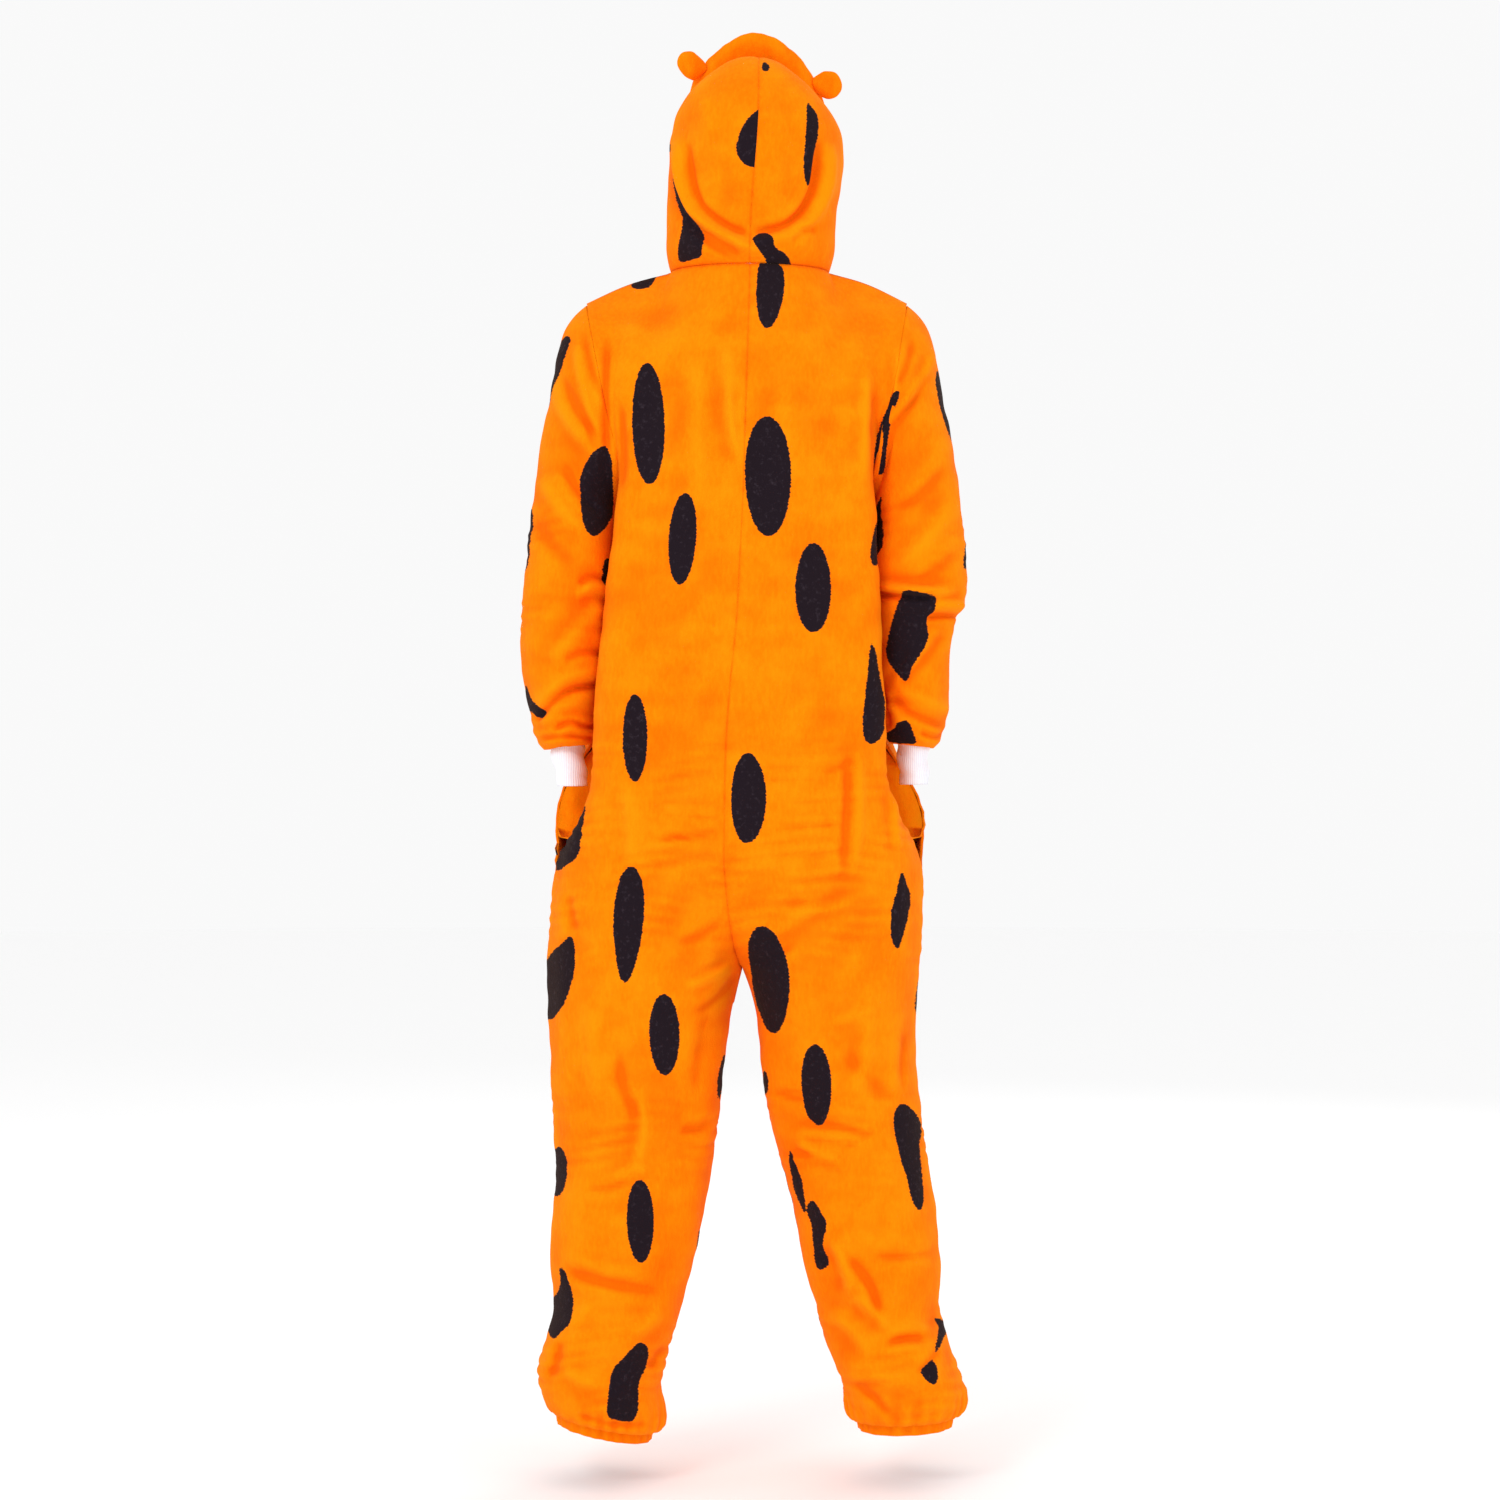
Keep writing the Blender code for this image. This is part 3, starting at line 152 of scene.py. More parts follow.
SLEEVE_CREASES = (
    (236, -200, 182, -268, 6, 7, -3.2),
    (262, -214, 196, -290, 8, 11, 2.8),
    (274, -262, 214, -330, 8, 12, -2.2),
    (8, 3.6, ((262, -508), (246, -486), (226, -470), (186, -461))),
    (4.5, -4.2, ((268, -524), (252, -503), (234, -486), (188, -476))),
    (6, 2.2, ((250, -520), (226, -500), (198, -498))),
    (4, -3.4, ((246, -536), (224, -522), (206, -534), (186, -526))),
    (3.5, -2.6, ((262, -545), (228, -542), (192, -546))),
    (10, 2.6, ((186, -376), (210, -408), (250, -448))),
    (5, -3.4, ((214, -352), (198, -341), (178, -352))),
    (6, 3.0, ((218, -368), (198, -356), (178, -366))),
    (5, -2.8, ((232, -448), (206, -434), (182, -444))),
    (5, -2.4, ((184, -376), (182, -432))),
    (-262, -240, -170, -342, -8, 12, 2.6),
    (-248, -200, -176, -262, -8, 9, -2.2),
    (-268, -300, -206, -352, -6, 10, -2.2),
    (-262, -362, -156, -354, -3, 8, 5.0),
    (-236, -369, -154, -363, -2, 5, -6.5),
    (-268, -378, -232, -376, -2, 8, 4.5),
    (-266, -394, -218, -396, 3, 5, -4.5),
    (5, -2.8, ((-178, -494), (-198, -514), (-244, -532))),
    (7, 2.6, ((-180, -476), (-206, -498), (-252, -512))),
    (4, -3.4, ((-212, -538), (-234, -546), (-250, -536))),
    (4, -2.8, ((-166, -476), (-170, -500), (-178, -530))),
    (6, 2.4, ((-176, -484), (-182, -506), (-190, -532))),
    (6, -2.2, ((-246, -410), (-226, -440), (-180, -486))),
    (-196, -430, -168, -480, -4, 8, -2.0),
)
FRONT_CREASES = (
    (-8, -60, -30, -190, -6, 12, 2.4),
    (70, -70, 62, -240, 5, 14, 2.0),
    (214, -60, 178, -180, 6, 8, 3.2),
    (228, -90, 182, -196, 6, 8, -3.0),
    (-210, -66, -174, -186, -6, 8, 3.2),
    (-220, -96, -176, -200, -6, 8, -2.8),
    (160, -130, 150, -330, -3, 8, -3.0),
    (-148, -130, -142, -320, 3, 8, -3.0),
    (104, -520, 60, -690, -6, 12, 2.2),
    (-96, -540, -52, -700, 6, 12, 2.2),
    (36, -560, 150, -520, 6, 9, -1.8),
    (-40, -600, -140, -560, -6, 9, -1.8),
    (14, -800, 96, -760, -8, 8, -2.6),
    (-12, -806, -88, -770, 8, 8, -2.6),
    (20, -836, 86, -880, -8, 8, 2.8),
    (-14, -838, -76, -872, 8, 8, 2.6),
    (176, -860, 160, -1010, 6, 12, 2.2),
    (-150, -850, -140, -990, -6, 12, -2.0),
    (76, -1040, 190, -1066, -8, 9, -2.6),
    (92, -1062, 206, -1084, -8, 9, 2.4),
    (-60, -1030, -180, -1064, 8, 9, 2.6),
    (-70, -1056, -190, -1090, 8, 9, -2.4),
    (230, -1190, 110, -1214, 8, 10, 2.4),
    (226, -1296, 126, -1322, 8, 9, -3.2),
    (236, -1320, 140, -1348, 8, 8, 2.8),
    (-100, -1180, -226, -1206, 8, 10, 2.4),
    (-118, -1288, -232, -1302, 8, 9, -3.4),
    (-128, -1316, -240, -1336, 8, 8, 3.0),
    (264, -250, 188, -330, 8, 11, 2.6),
    (272, -320, 192, -360, 8, 9, -2.8),
    (280, -420, 196, -440, 6, 9, 2.6),
    (270, -520, 200, -510, -4, 7, -3.0),
    (-254, -250, -166, -330, -8, 11, 2.6),
    (-262, -350, -170, -372, -4, 8, -3.2),
    (-248, -440, -170, -470, -6, 9, 2.6),
    (-238, -528, -180, -520, 4, 7, -3.0),
)
HOOD_CREASES = (
    (62, 87, 10, 55, -5, 6, -4.0),
    (-77, 88, -38, 80, 6, 5, -3.5),
    (-20, 56, -56, 36, 3, 6, 2.4),
    (58, 262, 44, 210, 4, 12, 1.6),
    (-70, 258, -60, 200, -4, 12, 1.6),
    (30, 180, 24, 110, 3, 12, -1.4),
    (-46, 190, -44, 120, -3, 12, -1.4),
)
# Creases of the padded brim
BRIM_CREASES = (
    (5, -5.0, ((30, 298), (12, 311), (-16, 319))),
    (6, 3.0, ((66, 268), (44, 292), (20, 308))),
    (5, -3.0, ((-48, 300), (-66, 276))),
)

# Long creases of the hood, where it drapes round the nape: width, rise and the points that the line runs through
HOOD_DRAPE = (
    (5, -8.5, ((78, 200), (77, 160), (66, 124), (48, 106), (22, 90), (4, 87))),
    (5, -8.0, ((-86, 205), (-85, 165), (-79, 134), (-62, 108), (-40, 92), (-6, 87))),
    (8, 9.0, ((92, 210), (88, 160), (74, 118), (48, 94), (14, 74), (-20, 52))),
    (8, 8.0, ((-102, 200), (-99, 152), (-84, 112), (-62, 90), (-30, 80), (-4, 75))),
    (5, -4.0, ((84, 110), (60, 80), (36, 62), (16, 50))),
    (5, -3.5, ((-52, 76), (-70, 92), (-84, 90))),
)

# The ovals that show whole from behind: the panels that they are on, x and z of the middle, width, height,
# lean in degrees and how egg-like they are
OVALS = (
    ("left", 127, -152, 41, 152, 1, -0.02),
    ("left", 83, -296, 37, 115, -4, 0.02),
    ("left", 144, -545, 31, 109, 0, 0.05),
    ("left", 152, -778, 37, 145, -3, 0.20),
    ("left", 107, -916, 38, 102, 1, 0.04),
    ("left", 137, -1149, 34, 104, 1, 0.02),
    ("right", -28, -218, 53, 150, 2, 0.06),
    ("right", -81, -357, 42, 112, 0, -0.04),
    ("right left", -10, -620, 41, 113, 0, -0.02),
    ("right", -26, -847, 47, 134, 4, 0.12),
    ("right", -83, -979, 38, 102, 2, 0.02),
)
# The ovals that a crease, a seam or the outline cuts, by the points that their edge runs through
OUTLINES = (
    ("hood_left", ((-20, 249), (-2, 235), (9, 221), (15, 205), (18, 190), (12, 176), (0, 168), (-20, 166))),
    ("hood_right", (
        (-70, 251), (-79, 241), (-86, 235), (-85, 202), (-82, 171), (-78, 152), (-71, 142), (-68, 152),
        (-66, 171), (-69, 202), (-70, 234),
    )),
    ("hood_right", ((-15, 299), (-21, 298), (-26, 292), (-22, 288), (-15, 288))),
    ("hood_left", ((95, 234), (101, 225), (109, 219), (112, 205), (108, 192), (96, 185), (99, 205))),
    ("hood_left", (
        (96, 170), (92, 152), (89, 132), (81, 114), (71, 99), (64, 90), (59, 75), (59, 62), (62, 55),
        (75, 52), (88, 48), (91, 60), (89, 75), (85, 90), (86, 104), (94, 120), (99, 140), (100, 159),
    )),
    ("hood_right hood_left", (
        (-2, 81), (-12, 86), (-25, 88), (-30, 68), (-45, 61), (-50, 52), (-58, 34), (-40, 35), (-20, 38),
        (-21, 54), (-12, 62), (-5, 74),
    )),
    ("hood_right", ((-104, 62), (-109, 66), (-115, 55), (-108, 49))),
    ("right left", (
        (-10, 50), (-25, 52), (-42, 45), (-44, 21), (-41, 0), (-35, -22), (-25, -35), (-15, -28), (-9, -4),
        (-8, 21),
    )),
    ("left", ((152, 22), (135, 30), (115, 40), (121, 22), (131, 16), (145, 16))),
    ("sleeve_left left", (
        (222, -41), (230, -62), (240, -98), (250, -125), (256, -141), (268, -135), (255, -88), (238, -45),
    )),
    ("sleeve_left", (
        (271, -256), (272, -279), (275, -308), (279, -338), (289, -335), (286, -285), (279, -258),
    )),
    ("sleeve_left left", (
        (182, -179), (192, -184), (202, -194), (209, -208), (214, -224), (212, -245), (211, -266),
        (206, -285), (198, -294), (188, -289), (181, -278), (175, -266), (171, -235), (172, -200),
        (178, -182),
    )),
    ("sleeve_left left", ((188, -322), (179, -319), (174, -335), (182, -342), (184, -360), (188, -358))),
    ("sleeve_left", ((192, -482), (185, -480), (188, -500), (194, -495))),
    ("sleeve_left", ((191, -508), (199, -520), (195, -526), (188, -512))),
    ("sleeve_left", (
        (282, -475), (275, -496), (265, -505), (255, -514), (266, -522), (275, -511), (288, -502),
        (292, -485),
    )),
    ("sleeve_right right", (
        (-179, -110), (-189, -111), (-184, -125), (-179, -138), (-175, -156), (-171, -181), (-169, -216),
        (-156, -216), (-156, -191), (-159, -169), (-165, -148), (-172, -132),
    )),
    ("sleeve_right right", (
        (-166, -238), (-166, -262), (-170, -285), (-170, -304), (-165, -315), (-159, -321), (-154, -332),
        (-148, -325), (-148, -304), (-152, -282), (-160, -258),
    )),
    ("sleeve_right", (
        (-235, -80), (-241, -98), (-248, -122), (-254, -148), (-258, -168), (-254, -178), (-250, -170),
        (-242, -148), (-235, -122), (-230, -102),
    )),
    ("sleeve_right", ((-270, -275), (-269, -304), (-265, -334), (-271, -335), (-280, -308), (-278, -278))),
    ("sleeve_right", (
        (-191, -360), (-202, -361), (-220, -365), (-234, -368), (-232, -380), (-230, -389), (-220, -394),
        (-224, -415), (-220, -429), (-210, -445), (-201, -458), (-200, -469), (-194, -475), (-186, -466),
        (-178, -454), (-171, -435), (-176, -416), (-179, -398), (-185, -379),
    )),
    ("sleeve_right", (
        (-188, -525), (-199, -522), (-204, -536), (-210, -554), (-191, -552), (-172, -549), (-172, -540),
        (-184, -534),
    )),
    ("right", (
        (-149, -419), (-155, -441), (-159, -466), (-164, -498), (-166, -529), (-162, -545), (-154, -554),
        (-145, -550), (-141, -539), (-141, -512), (-144, -485), (-146, -454),
    )),
    ("right", (
        (-189, -708), (-195, -722), (-200, -739), (-201, -751), (-196, -772), (-192, -791), (-185, -812),
        (-178, -801), (-175, -782), (-176, -760), (-182, -738),
    )),
    ("right", (
        (-218, -800), (-214, -822), (-209, -854), (-205, -876), (-208, -898), (-220, -900), (-230, -854),
        (-225, -808),
    )),
    ("right", (
        (-189, -1000), (-182, -1008), (-179, -1022), (-181, -1041), (-185, -1056), (-188, -1072),
        (-194, -1088), (-198, -1104), (-201, -1121), (-209, -1136), (-216, -1134), (-219, -1116),
        (-216, -1098), (-215, -1076), (-212, -1054), (-215, -1032), (-210, -1018), (-201, -1006),
    )),
    ("right", (
        (-46, -1055), (-55, -1075), (-64, -1095), (-68, -1116), (-71, -1144), (-61, -1126), (-55, -1108),
        (-49, -1082),
    )),
    ("right", (
        (-78, -1120), (-70, -1129), (-72, -1141), (-78, -1152), (-79, -1175), (-81, -1201), (-86, -1211),
        (-95, -1208), (-100, -1199), (-91, -1186), (-91, -1172), (-98, -1152), (-90, -1139),
    )),
    ("right", (
        (-230, -1270), (-240, -1271), (-246, -1285), (-240, -1301), (-232, -1316), (-231, -1304),
        (-236, -1291), (-236, -1280),
    )),
    ("right", (
        (-228, -1320), (-234, -1332), (-235, -1346), (-230, -1355), (-220, -1348), (-211, -1336),
        (-221, -1329),
    )),
    ("right", ((-19, -955), (-26, -976), (-22, -995), (-15, -978))),
    ("right", ((-76, -1245), (-84, -1264), (-90, -1292), (-79, -1282), (-66, -1254))),
    ("left", ((31, -938), (32, -960), (35, -982), (38, -1000), (41, -988), (39, -965), (36, -945))),
    ("left", ((59, -1152), (66, -1172), (70, -1206), (52, -1200), (44, -1168))),
    ("left", (
        (206, -624), (209, -654), (212, -679), (215, -694), (226, -702), (238, -710), (245, -712),
        (244, -694), (240, -672), (234, -659), (222, -645), (212, -636),
    )),
    ("left", (
        (225, -790), (234, -801), (244, -808), (251, -819), (256, -838), (261, -866), (258, -894),
        (249, -899), (238, -886), (230, -872), (224, -854), (219, -832), (219, -814), (221, -799),
    )),
    ("left", (
        (239, -1054), (232, -1064), (229, -1082), (230, -1100), (236, -1116), (244, -1119), (250, -1108),
        (251, -1080), (245, -1060),
    )),
    ("left", (
        (240, -1205), (232, -1209), (226, -1224), (220, -1248), (221, -1268), (226, -1280), (235, -1286),
        (244, -1298), (252, -1290), (258, -1270), (255, -1252), (246, -1245), (240, -1235), (236, -1222),
    )),
    ("left", (
        (140, -1300), (129, -1302), (126, -1316), (129, -1330), (136, -1344), (140, -1352), (139, -1372),
        (140, -1389), (148, -1401), (162, -1399), (180, -1395), (178, -1372), (176, -1354), (174, -1341),
        (169, -1330), (159, -1321), (150, -1310),
    )),
)
# How far an oval that the garment's outline cuts goes on round the side
SIDE_REACH = 22
# The same cloth over the hidden front, by the same columns
FRONT_OVALS = (
    ("left", 72, -112, 44, 150, 1, 0.02),
    ("left", 128, -262, 38, 114, -2, 0.03),
    ("left", 60, -384, 40, 130, 1, -0.02),
    ("left", 132, -492, 38, 112, 0, 0.04),
    ("left", 78, -650, 42, 145, 2, 0.05),
    ("left", 138, -772, 36, 110, -1, 0.02),
    ("left", 72, -905, 38, 112, -2, 0.03),
    ("left", 150, -1000, 42, 140, 1, 0.06),
    ("left", 112, -1150, 36, 110, 2, 0.0),
    ("left", 176, -1252, 38, 112, -2, 0.04),
    ("right", -62, -138, 42, 150, -1, 0.04),
    ("right", -116, -298, 38, 114, 2, 0.02),
    ("right", -58, -452, 40, 130, 0, -0.02),
    ("right", -112, -642, 42, 145, 1, 0.05),
    ("right", -48, -784, 38, 112, -2, 0.02),
    ("right", -124, -930, 40, 118, 2, 0.03),
    ("right", -112, -1104, 42, 140, -1, 0.04),
    ("right", -168, -1240, 36, 108, 1, 0.02),
    ("sleeve_left", 228, -184, 38, 112, 2, 0.02),
    ("sleeve_left", 218, -336, 42, 140, -1, 0.04),
    ("sleeve_left", 242, -474, 36, 108, 3, 0.02),
    ("sleeve_right", -208, -216, 42, 140, -2, 0.03),
    ("sleeve_right", -230, -372, 36, 108, 0, 0.04),
    ("sleeve_right", -196, -488, 38, 112, -2, 0.02),
)

# Where the cloth is pushed together in short level wrinkles: the height, half the reach and the rise
WRINKLED = {
    "body": (
        (-0.590, 0.050, 0.6), (-0.680, 0.060, 0.9), (-0.770, 0.050, 0.6), (-1.040, 0.050, 0.8),
        (-1.330, 0.070, 0.8),
    ),
    "arm": ((-0.290, 0.050, 0.5), (-0.400, 0.040, 0.7), (-0.520, 0.035, 0.8)),
}

# Where each sleeve lies on the trunk: heights and how far out, on the wearer's left (1) and right (-1)
SLIT_COURSE = {
    1: ((-250, 165), (-310, 171), (-400, 184), (-490, 192), (-560, 205)),
    -1: ((-250, 155), (-340, 157), (-430, 161), (-490, 165), (-560, 177)),
}

# The middle seam wanders a little to one side between the shoulders and the crotch
SEAM_COURSE = ((20, 0), (-170, 6), (-320, 10), (-500, 12), (-700, 14), (-800, 6), (-835, 0))

# Each short crease is this much narrower than its table says
SHORT_CREASE_WIDTH = 0.8
# How far the sleeve and the trunk lean on each other below the armpit
SLEEVE_LEAN, TRUNK_LEAN = -4.5 * MM, 4.0 * MM
# How far the rims of a seam move towards each other
SEAM_CLOSING = 0.24 * MM


def linear(hex_colour):
    """An sRGB hex colour as Blender's linear red, green and blue."""
    parts = [int(hex_colour[i : i + 2], 16) / 255 for i in (0, 2, 4)]
    return tuple(c / 12.92 if c <= 0.04045 else ((c + 0.055) / 1.055) ** 2.4 for c in parts)


def colour_property(name, hex_colour, description):
    return bpy.props.FloatVectorProperty(
        name=name, description=description, default=linear(hex_colour), subtype="COLOR", min=0.0, max=1.0
    )


class ClothSettings(bpy.types.PropertyGroup):
    """Colours and sizes of the cloth."""

    fleece: colour_property("Fleece", "FF7A00", "Ground of the printed fleece")
    # The paler colour below serves the real brushed patches of pile and also a painted highlight on the back of
    # each crease
    fleece_brushed_and_highlight: colour_property("Brushed fleece", "FF9406", "Pile that is brushed up")
    # The darker colour below is painted shade, laid on the foot of each crease and seam and under the brim
    fleece_painted_shade: colour_property("Deep fleece", "EE5A00", "Pile at the foot of a crease")
    print_ink: colour_property("Print", "1F171E", "Black of the ovals")
    print_dust: colour_property("Worn print", "3C333B", "Print where the pile parts")
    rib: colour_property("Rib", "FBFBFF", "White rib of the cuffs")
    nap: bpy.props.FloatProperty(
        name="Nap", description="Clumps of the pile", default=2.2 * MM, min=0.0005, max=0.01, unit="LENGTH"
    )
    print_edge: bpy.props.FloatProperty(
        name="Ragged edge", description="How far the print's edge strays", default=0.8 * MM, min=0.0, max=0.01,
        unit="LENGTH",
    )
    seam_depth: bpy.props.FloatProperty(
        name="Seam depth", description="How far a seam sinks", default=1.3 * MM, min=0.0, max=0.005, unit="LENGTH"
    )
    seam_width: bpy.props.FloatProperty(
        name="Seam width", description="Half width of the sunk line", default=3.6 * MM, min=0.001, max=0.02,
        unit="LENGTH",
    )
    crease_gain: bpy.props.FloatProperty(
        name="Crease gain", description="How strongly the creases of the body and sleeves stand out", default=1.6,
        min=0.0, max=3.0,
    )
    undulation: bpy.props.FloatProperty(
        name="Undulation", description="Soft unevenness of hanging cloth", default=0.9 * MM, min=0.0, max=0.004,
        unit="LENGTH",
    )
    rib_spacing: bpy.props.FloatProperty(
        name="Rib spacing", description="Width of one rib", default=3.6 * MM, min=0.001, max=0.01, unit="LENGTH"
    )
    rib_height: bpy.props.FloatProperty(
        name="Rib height", description="Height of one rib", default=0.35 * MM, min=0.0, max=0.002, unit="LENGTH"
    )


class ButtonSettings(bpy.types.PropertyGroup):
    """Colours and sizes of the buttons and their thread."""

    plastic: colour_property("Button", "E98A12", "Moulded polyester resin")
    thread: colour_property("Thread", "F29A2E", "Sewing thread")
    hole_radius: bpy.props.FloatProperty(
        name="Hole radius", description="Radius of a sewing hole", default=1.0 * MM, min=0.0003, max=0.003,
        unit="LENGTH",
    )
    hole_spread: bpy.props.FloatProperty(
        name="Hole spread", description="From the middle to a hole", default=2.6 * MM, min=0.001, max=0.006,
        unit="LENGTH",
    )
    stitch: bpy.props.FloatProperty(
        name="Stitch", description="Length of one stitch", default=3.2 * MM, min=0.001, max=0.008, unit="LENGTH"
    )


class StageSettings(bpy.types.PropertyGroup):
    """The camera's place and the room."""

    distance: bpy.props.FloatProperty(
        name="Distance", description="Camera to the garment", default=4.5, min=1.0, max=12.0, unit="LENGTH"
    )
    floor_height: bpy.props.FloatProperty(
        name="Floor", description="Floor below the base of the neck", default=-1.470, max=-1.0, unit="LENGTH"
    )
    height: bpy.props.FloatProperty(
        name="Height", description="Camera above the floor", default=0.91, min=0.1, max=3.0, unit="LENGTH"
    )
    view_width: bpy.props.FloatProperty(
        name="View width", description="Width seen at the garment", default=1.875, min=0.5, max=6.0, unit="LENGTH"
    )
    floor: colour_property("Floor", "FFFFFF", "Plain pale floor")


def add_node(tree, kind, inputs=None, **settings):
    """Adds a shader node. inputs maps a socket's name or number to a value or to the socket that feeds it."""
    node = tree.nodes.new("ShaderNode" + kind)
    for key, value in settings.items():
        setattr(node, key, value)
    for key, value in (inputs or {}).items():
        if isinstance(value, bpy.types.NodeSocket):
            tree.links.new(value, node.inputs[key])
        else:
            node.inputs[key].default_value = value
    return node


def new_material(name):
    """An empty material with its Principled shader, and the Object coordinates to read."""
    material = bpy.data.materials.new(name)
    material.use_nodes = True
    tree = material.node_tree
    shader = tree.nodes["Principled BSDF"]
    coords = add_node(tree, "TexCoord").outputs["Object"]
    return material, tree, shader, coords


def flannel_fleece(name="flannel_fleece", printed=True):
    """Polyester flannel fleece, knitted, brushed and printed: deep soft pile, no shine, paler where it is ruffled.

    The print reads each piece's own attribute, how many millimetres a point lies inside the nearest oval, and
    the creases another, from which a painted shade darkens the foot of a crease and a painted highlight pales its
    back."""
    cloth = bpy.context.scene.onesie_cloth
    material, tree, shader, coords = new_material(name)
    brushed = add_node(tree, "TexNoise", {"Vector": coords, "Scale": 1 / 0.040, "Detail": 5.0, "Roughness": 0.62})
    patches = add_node(
        tree, "MapRange", {"Value": brushed.outputs["Fac"], "From Min": 0.42, "From Max": 0.72, "To Max": 0.55}
    )
    strokes = add_node(tree, "Mapping", {"Vector": coords, "Scale": (1 / 0.0042, 1 / 0.0042, 1 / 0.011)})
    ruffle = add_node(tree, "TexNoise", {"Vector": strokes.outputs[0], "Scale": 1.0, "Detail": 5.0})
    speckle = add_node(
        tree, "MapRange", {"Value": ruffle.outputs["Fac"], "From Min": 0.38, "From Max": 0.74, "To Max": 0.40}
    )
    # The rise of the cloth with the seam and brim shade, read to paint shade into crease feet and a highlight onto
    # crease backs
    rise = add_node(tree, "Attribute", attribute_name="rise_for_painted_shade").outputs["Fac"]
    # painted shade: the darker colour at the foot of each crease, along seam lines and under the brim
    foot = add_node(tree, "MapRange", {"Value": rise, "From Min": 0.2, "From Max": -3.6, "To Max": 0.70})
    # painted highlight: the paler colour on the back of each crease
    crest = add_node(tree, "MapRange", {"Value": rise, "From Min": 0.4, "From Max": 3.5, "To Max": 0.5})
    colour = (*cloth.fleece, 1)
    for factor, other in (
        (patches.outputs[0], cloth.fleece_brushed_and_highlight), (speckle.outputs[0], cloth.fleece_brushed_and_highlight),
        (foot.outputs[0], cloth.fleece_painted_shade), (crest.outputs[0], cloth.fleece_brushed_and_highlight),
    ):
        mix = add_node(tree, "Mix", {"Factor": factor, 6: colour, 7: (*other, 1)}, data_type="RGBA")
        colour = mix.outputs[2]
    if printed:
        colour = add_print(tree, coords, colour)
    tree.links.new(colour, shader.inputs["Base Color"])
    clumps = add_node(
        tree, "TexNoise", {"Vector": coords, "Scale": 1 / cloth.nap, "Detail": 4.0, "Roughness": 0.65}
    )
    relief = add_node(tree, "Math", {0: clumps.outputs["Fac"], 1: ruffle.outputs["Fac"]}, operation="ADD")
    bump = add_node(tree, "Bump", {"Height": relief.outputs[0], "Strength": 0.55, "Distance": 0.0012})
    tree.links.new(bump.outputs[0], shader.inputs["Normal"])
    shader.inputs["Roughness"].default_value = 0.95
    shader.inputs["Specular IOR Level"].default_value = 0.04
    shader.inputs["Sheen Weight"].default_value = 0.04
    shader.inputs["Sheen Roughness"].default_value = 0.55
    shader.inputs["Sheen Tint"].default_value = (1.0, 0.50, 0.15, 1.0)
    return material


def add_print(tree, coords, ground):
    """Lays the black ovals over the fleece, with the ragged edge that brushing gives a print."""
    cloth = bpy.context.scene.onesie_cloth
    inside = add_node(tree, "Attribute", attribute_name="oval_depth").outputs["Fac"]
    teeth = add_node(tree, "Mapping", {"Vector": coords, "Scale": (1 / 0.007, 1 / 0.007, 1 / 0.0022)})
    ragged = add_node(tree, "TexNoise", {"Vector": teeth.outputs[0], "Scale": 1.0, "Detail": 2.0})
    reach = cloth.print_edge / MM
    stray = add_node(
        tree, "MapRange",
        {"Value": ragged.outputs["Fac"], "From Min": 0.3, "From Max": 0.7, "To Min": -reach, "To Max": reach},
    )
    depth = add_node(tree, "Math", {0: inside, 1: stray.outputs[0]}, operation="ADD")
    mask = add_node(
        tree, "MapRange", {"Value": depth.outputs[0], "From Min": -0.5, "From Max": 0.6},
        interpolation_type="SMOOTHSTEP",
    )
    parting = add_node(tree, "TexNoise", {"Vector": coords, "Scale": 1 / 0.006, "Detail": 5.0, "Roughness": 0.7})
    worn = add_node(tree, "MapRange", {"Value": parting.outputs["Fac"], "From Min": 0.55, "From Max": 0.78})
    ink = add_node(
        tree, "Mix", {"Factor": worn.outputs[0], 6: (*cloth.print_ink, 1), 7: (*cloth.print_dust, 1)},
        data_type="RGBA",
    )
    return add_node(
        tree, "Mix", {"Factor": mask.outputs[0], 6: ground, 7: ink.outputs[2]}, data_type="RGBA"
    ).outputs[2]


def rib_jersey():
    """White cotton and elastane 1 x 1 rib, knitted: matt, with a painted shade that greys and cools its troughs."""
    cloth = bpy.context.scene.onesie_cloth
    material, tree, shader, coords = new_material("rib_jersey")
    # The rise of the ribs, read to paint shade into the troughs between them
    rise = add_node(tree, "Attribute", attribute_name="rise_for_painted_shade").outputs["Fac"]
    # painted shade: the troughs between the ribs are greyed where shade falls
    painted_trough_shade = add_node(tree, "MapRange", {"Value": rise, "From Min": 0.3, "From Max": -0.5})
    colour = add_node(
        tree, "Mix", {"Factor": painted_trough_shade.outputs[0], 6: (*cloth.rib, 1), 7: (*linear("E2E2F0"), 1)}, data_type="RGBA"
    )
    tree.links.new(colour.outputs[2], shader.inputs["Base Color"])
    stitches = add_node(tree, "Mapping", {"Vector": coords, "Scale": (1 / 0.0018, 1 / 0.0018, 1 / 0.0014)})
    loops = add_node(tree, "TexVoronoi", {"Vector": stitches.outputs[0], "Scale": 1.0})
    bump = add_node(tree, "Bump", {"Height": loops.outputs["Distance"], "Strength": 0.35, "Distance": 0.0005})
    tree.links.new(bump.outputs[0], shader.inputs["Normal"])
    shader.inputs["Roughness"].default_value = 0.85
    shader.inputs["Sheen Weight"].default_value = 0.15
    return material


def button_resin():
    """Cast polyester resin, polished in a tumbler: smooth, faintly cloudy, with soft highlights."""
    buttons = bpy.context.scene.onesie_buttons
    material, tree, shader, coords = new_material("button_resin")
    cloud = add_node(tree, "TexNoise", {"Vector": coords, "Scale": 1 / 0.006, "Detail": 3.0})
    mix = add_node(
        tree, "Mix", {"Factor": cloud.outputs["Fac"], 6: (*buttons.plastic, 1), 7: (*linear("F6A436"), 1)},
        data_type="RGBA",
    )
    tree.links.new(mix.outputs[2], shader.inputs["Base Color"])
    shader.inputs["Roughness"].default_value = 0.32
    shader.inputs["IOR"].default_value = 1.54
    return material


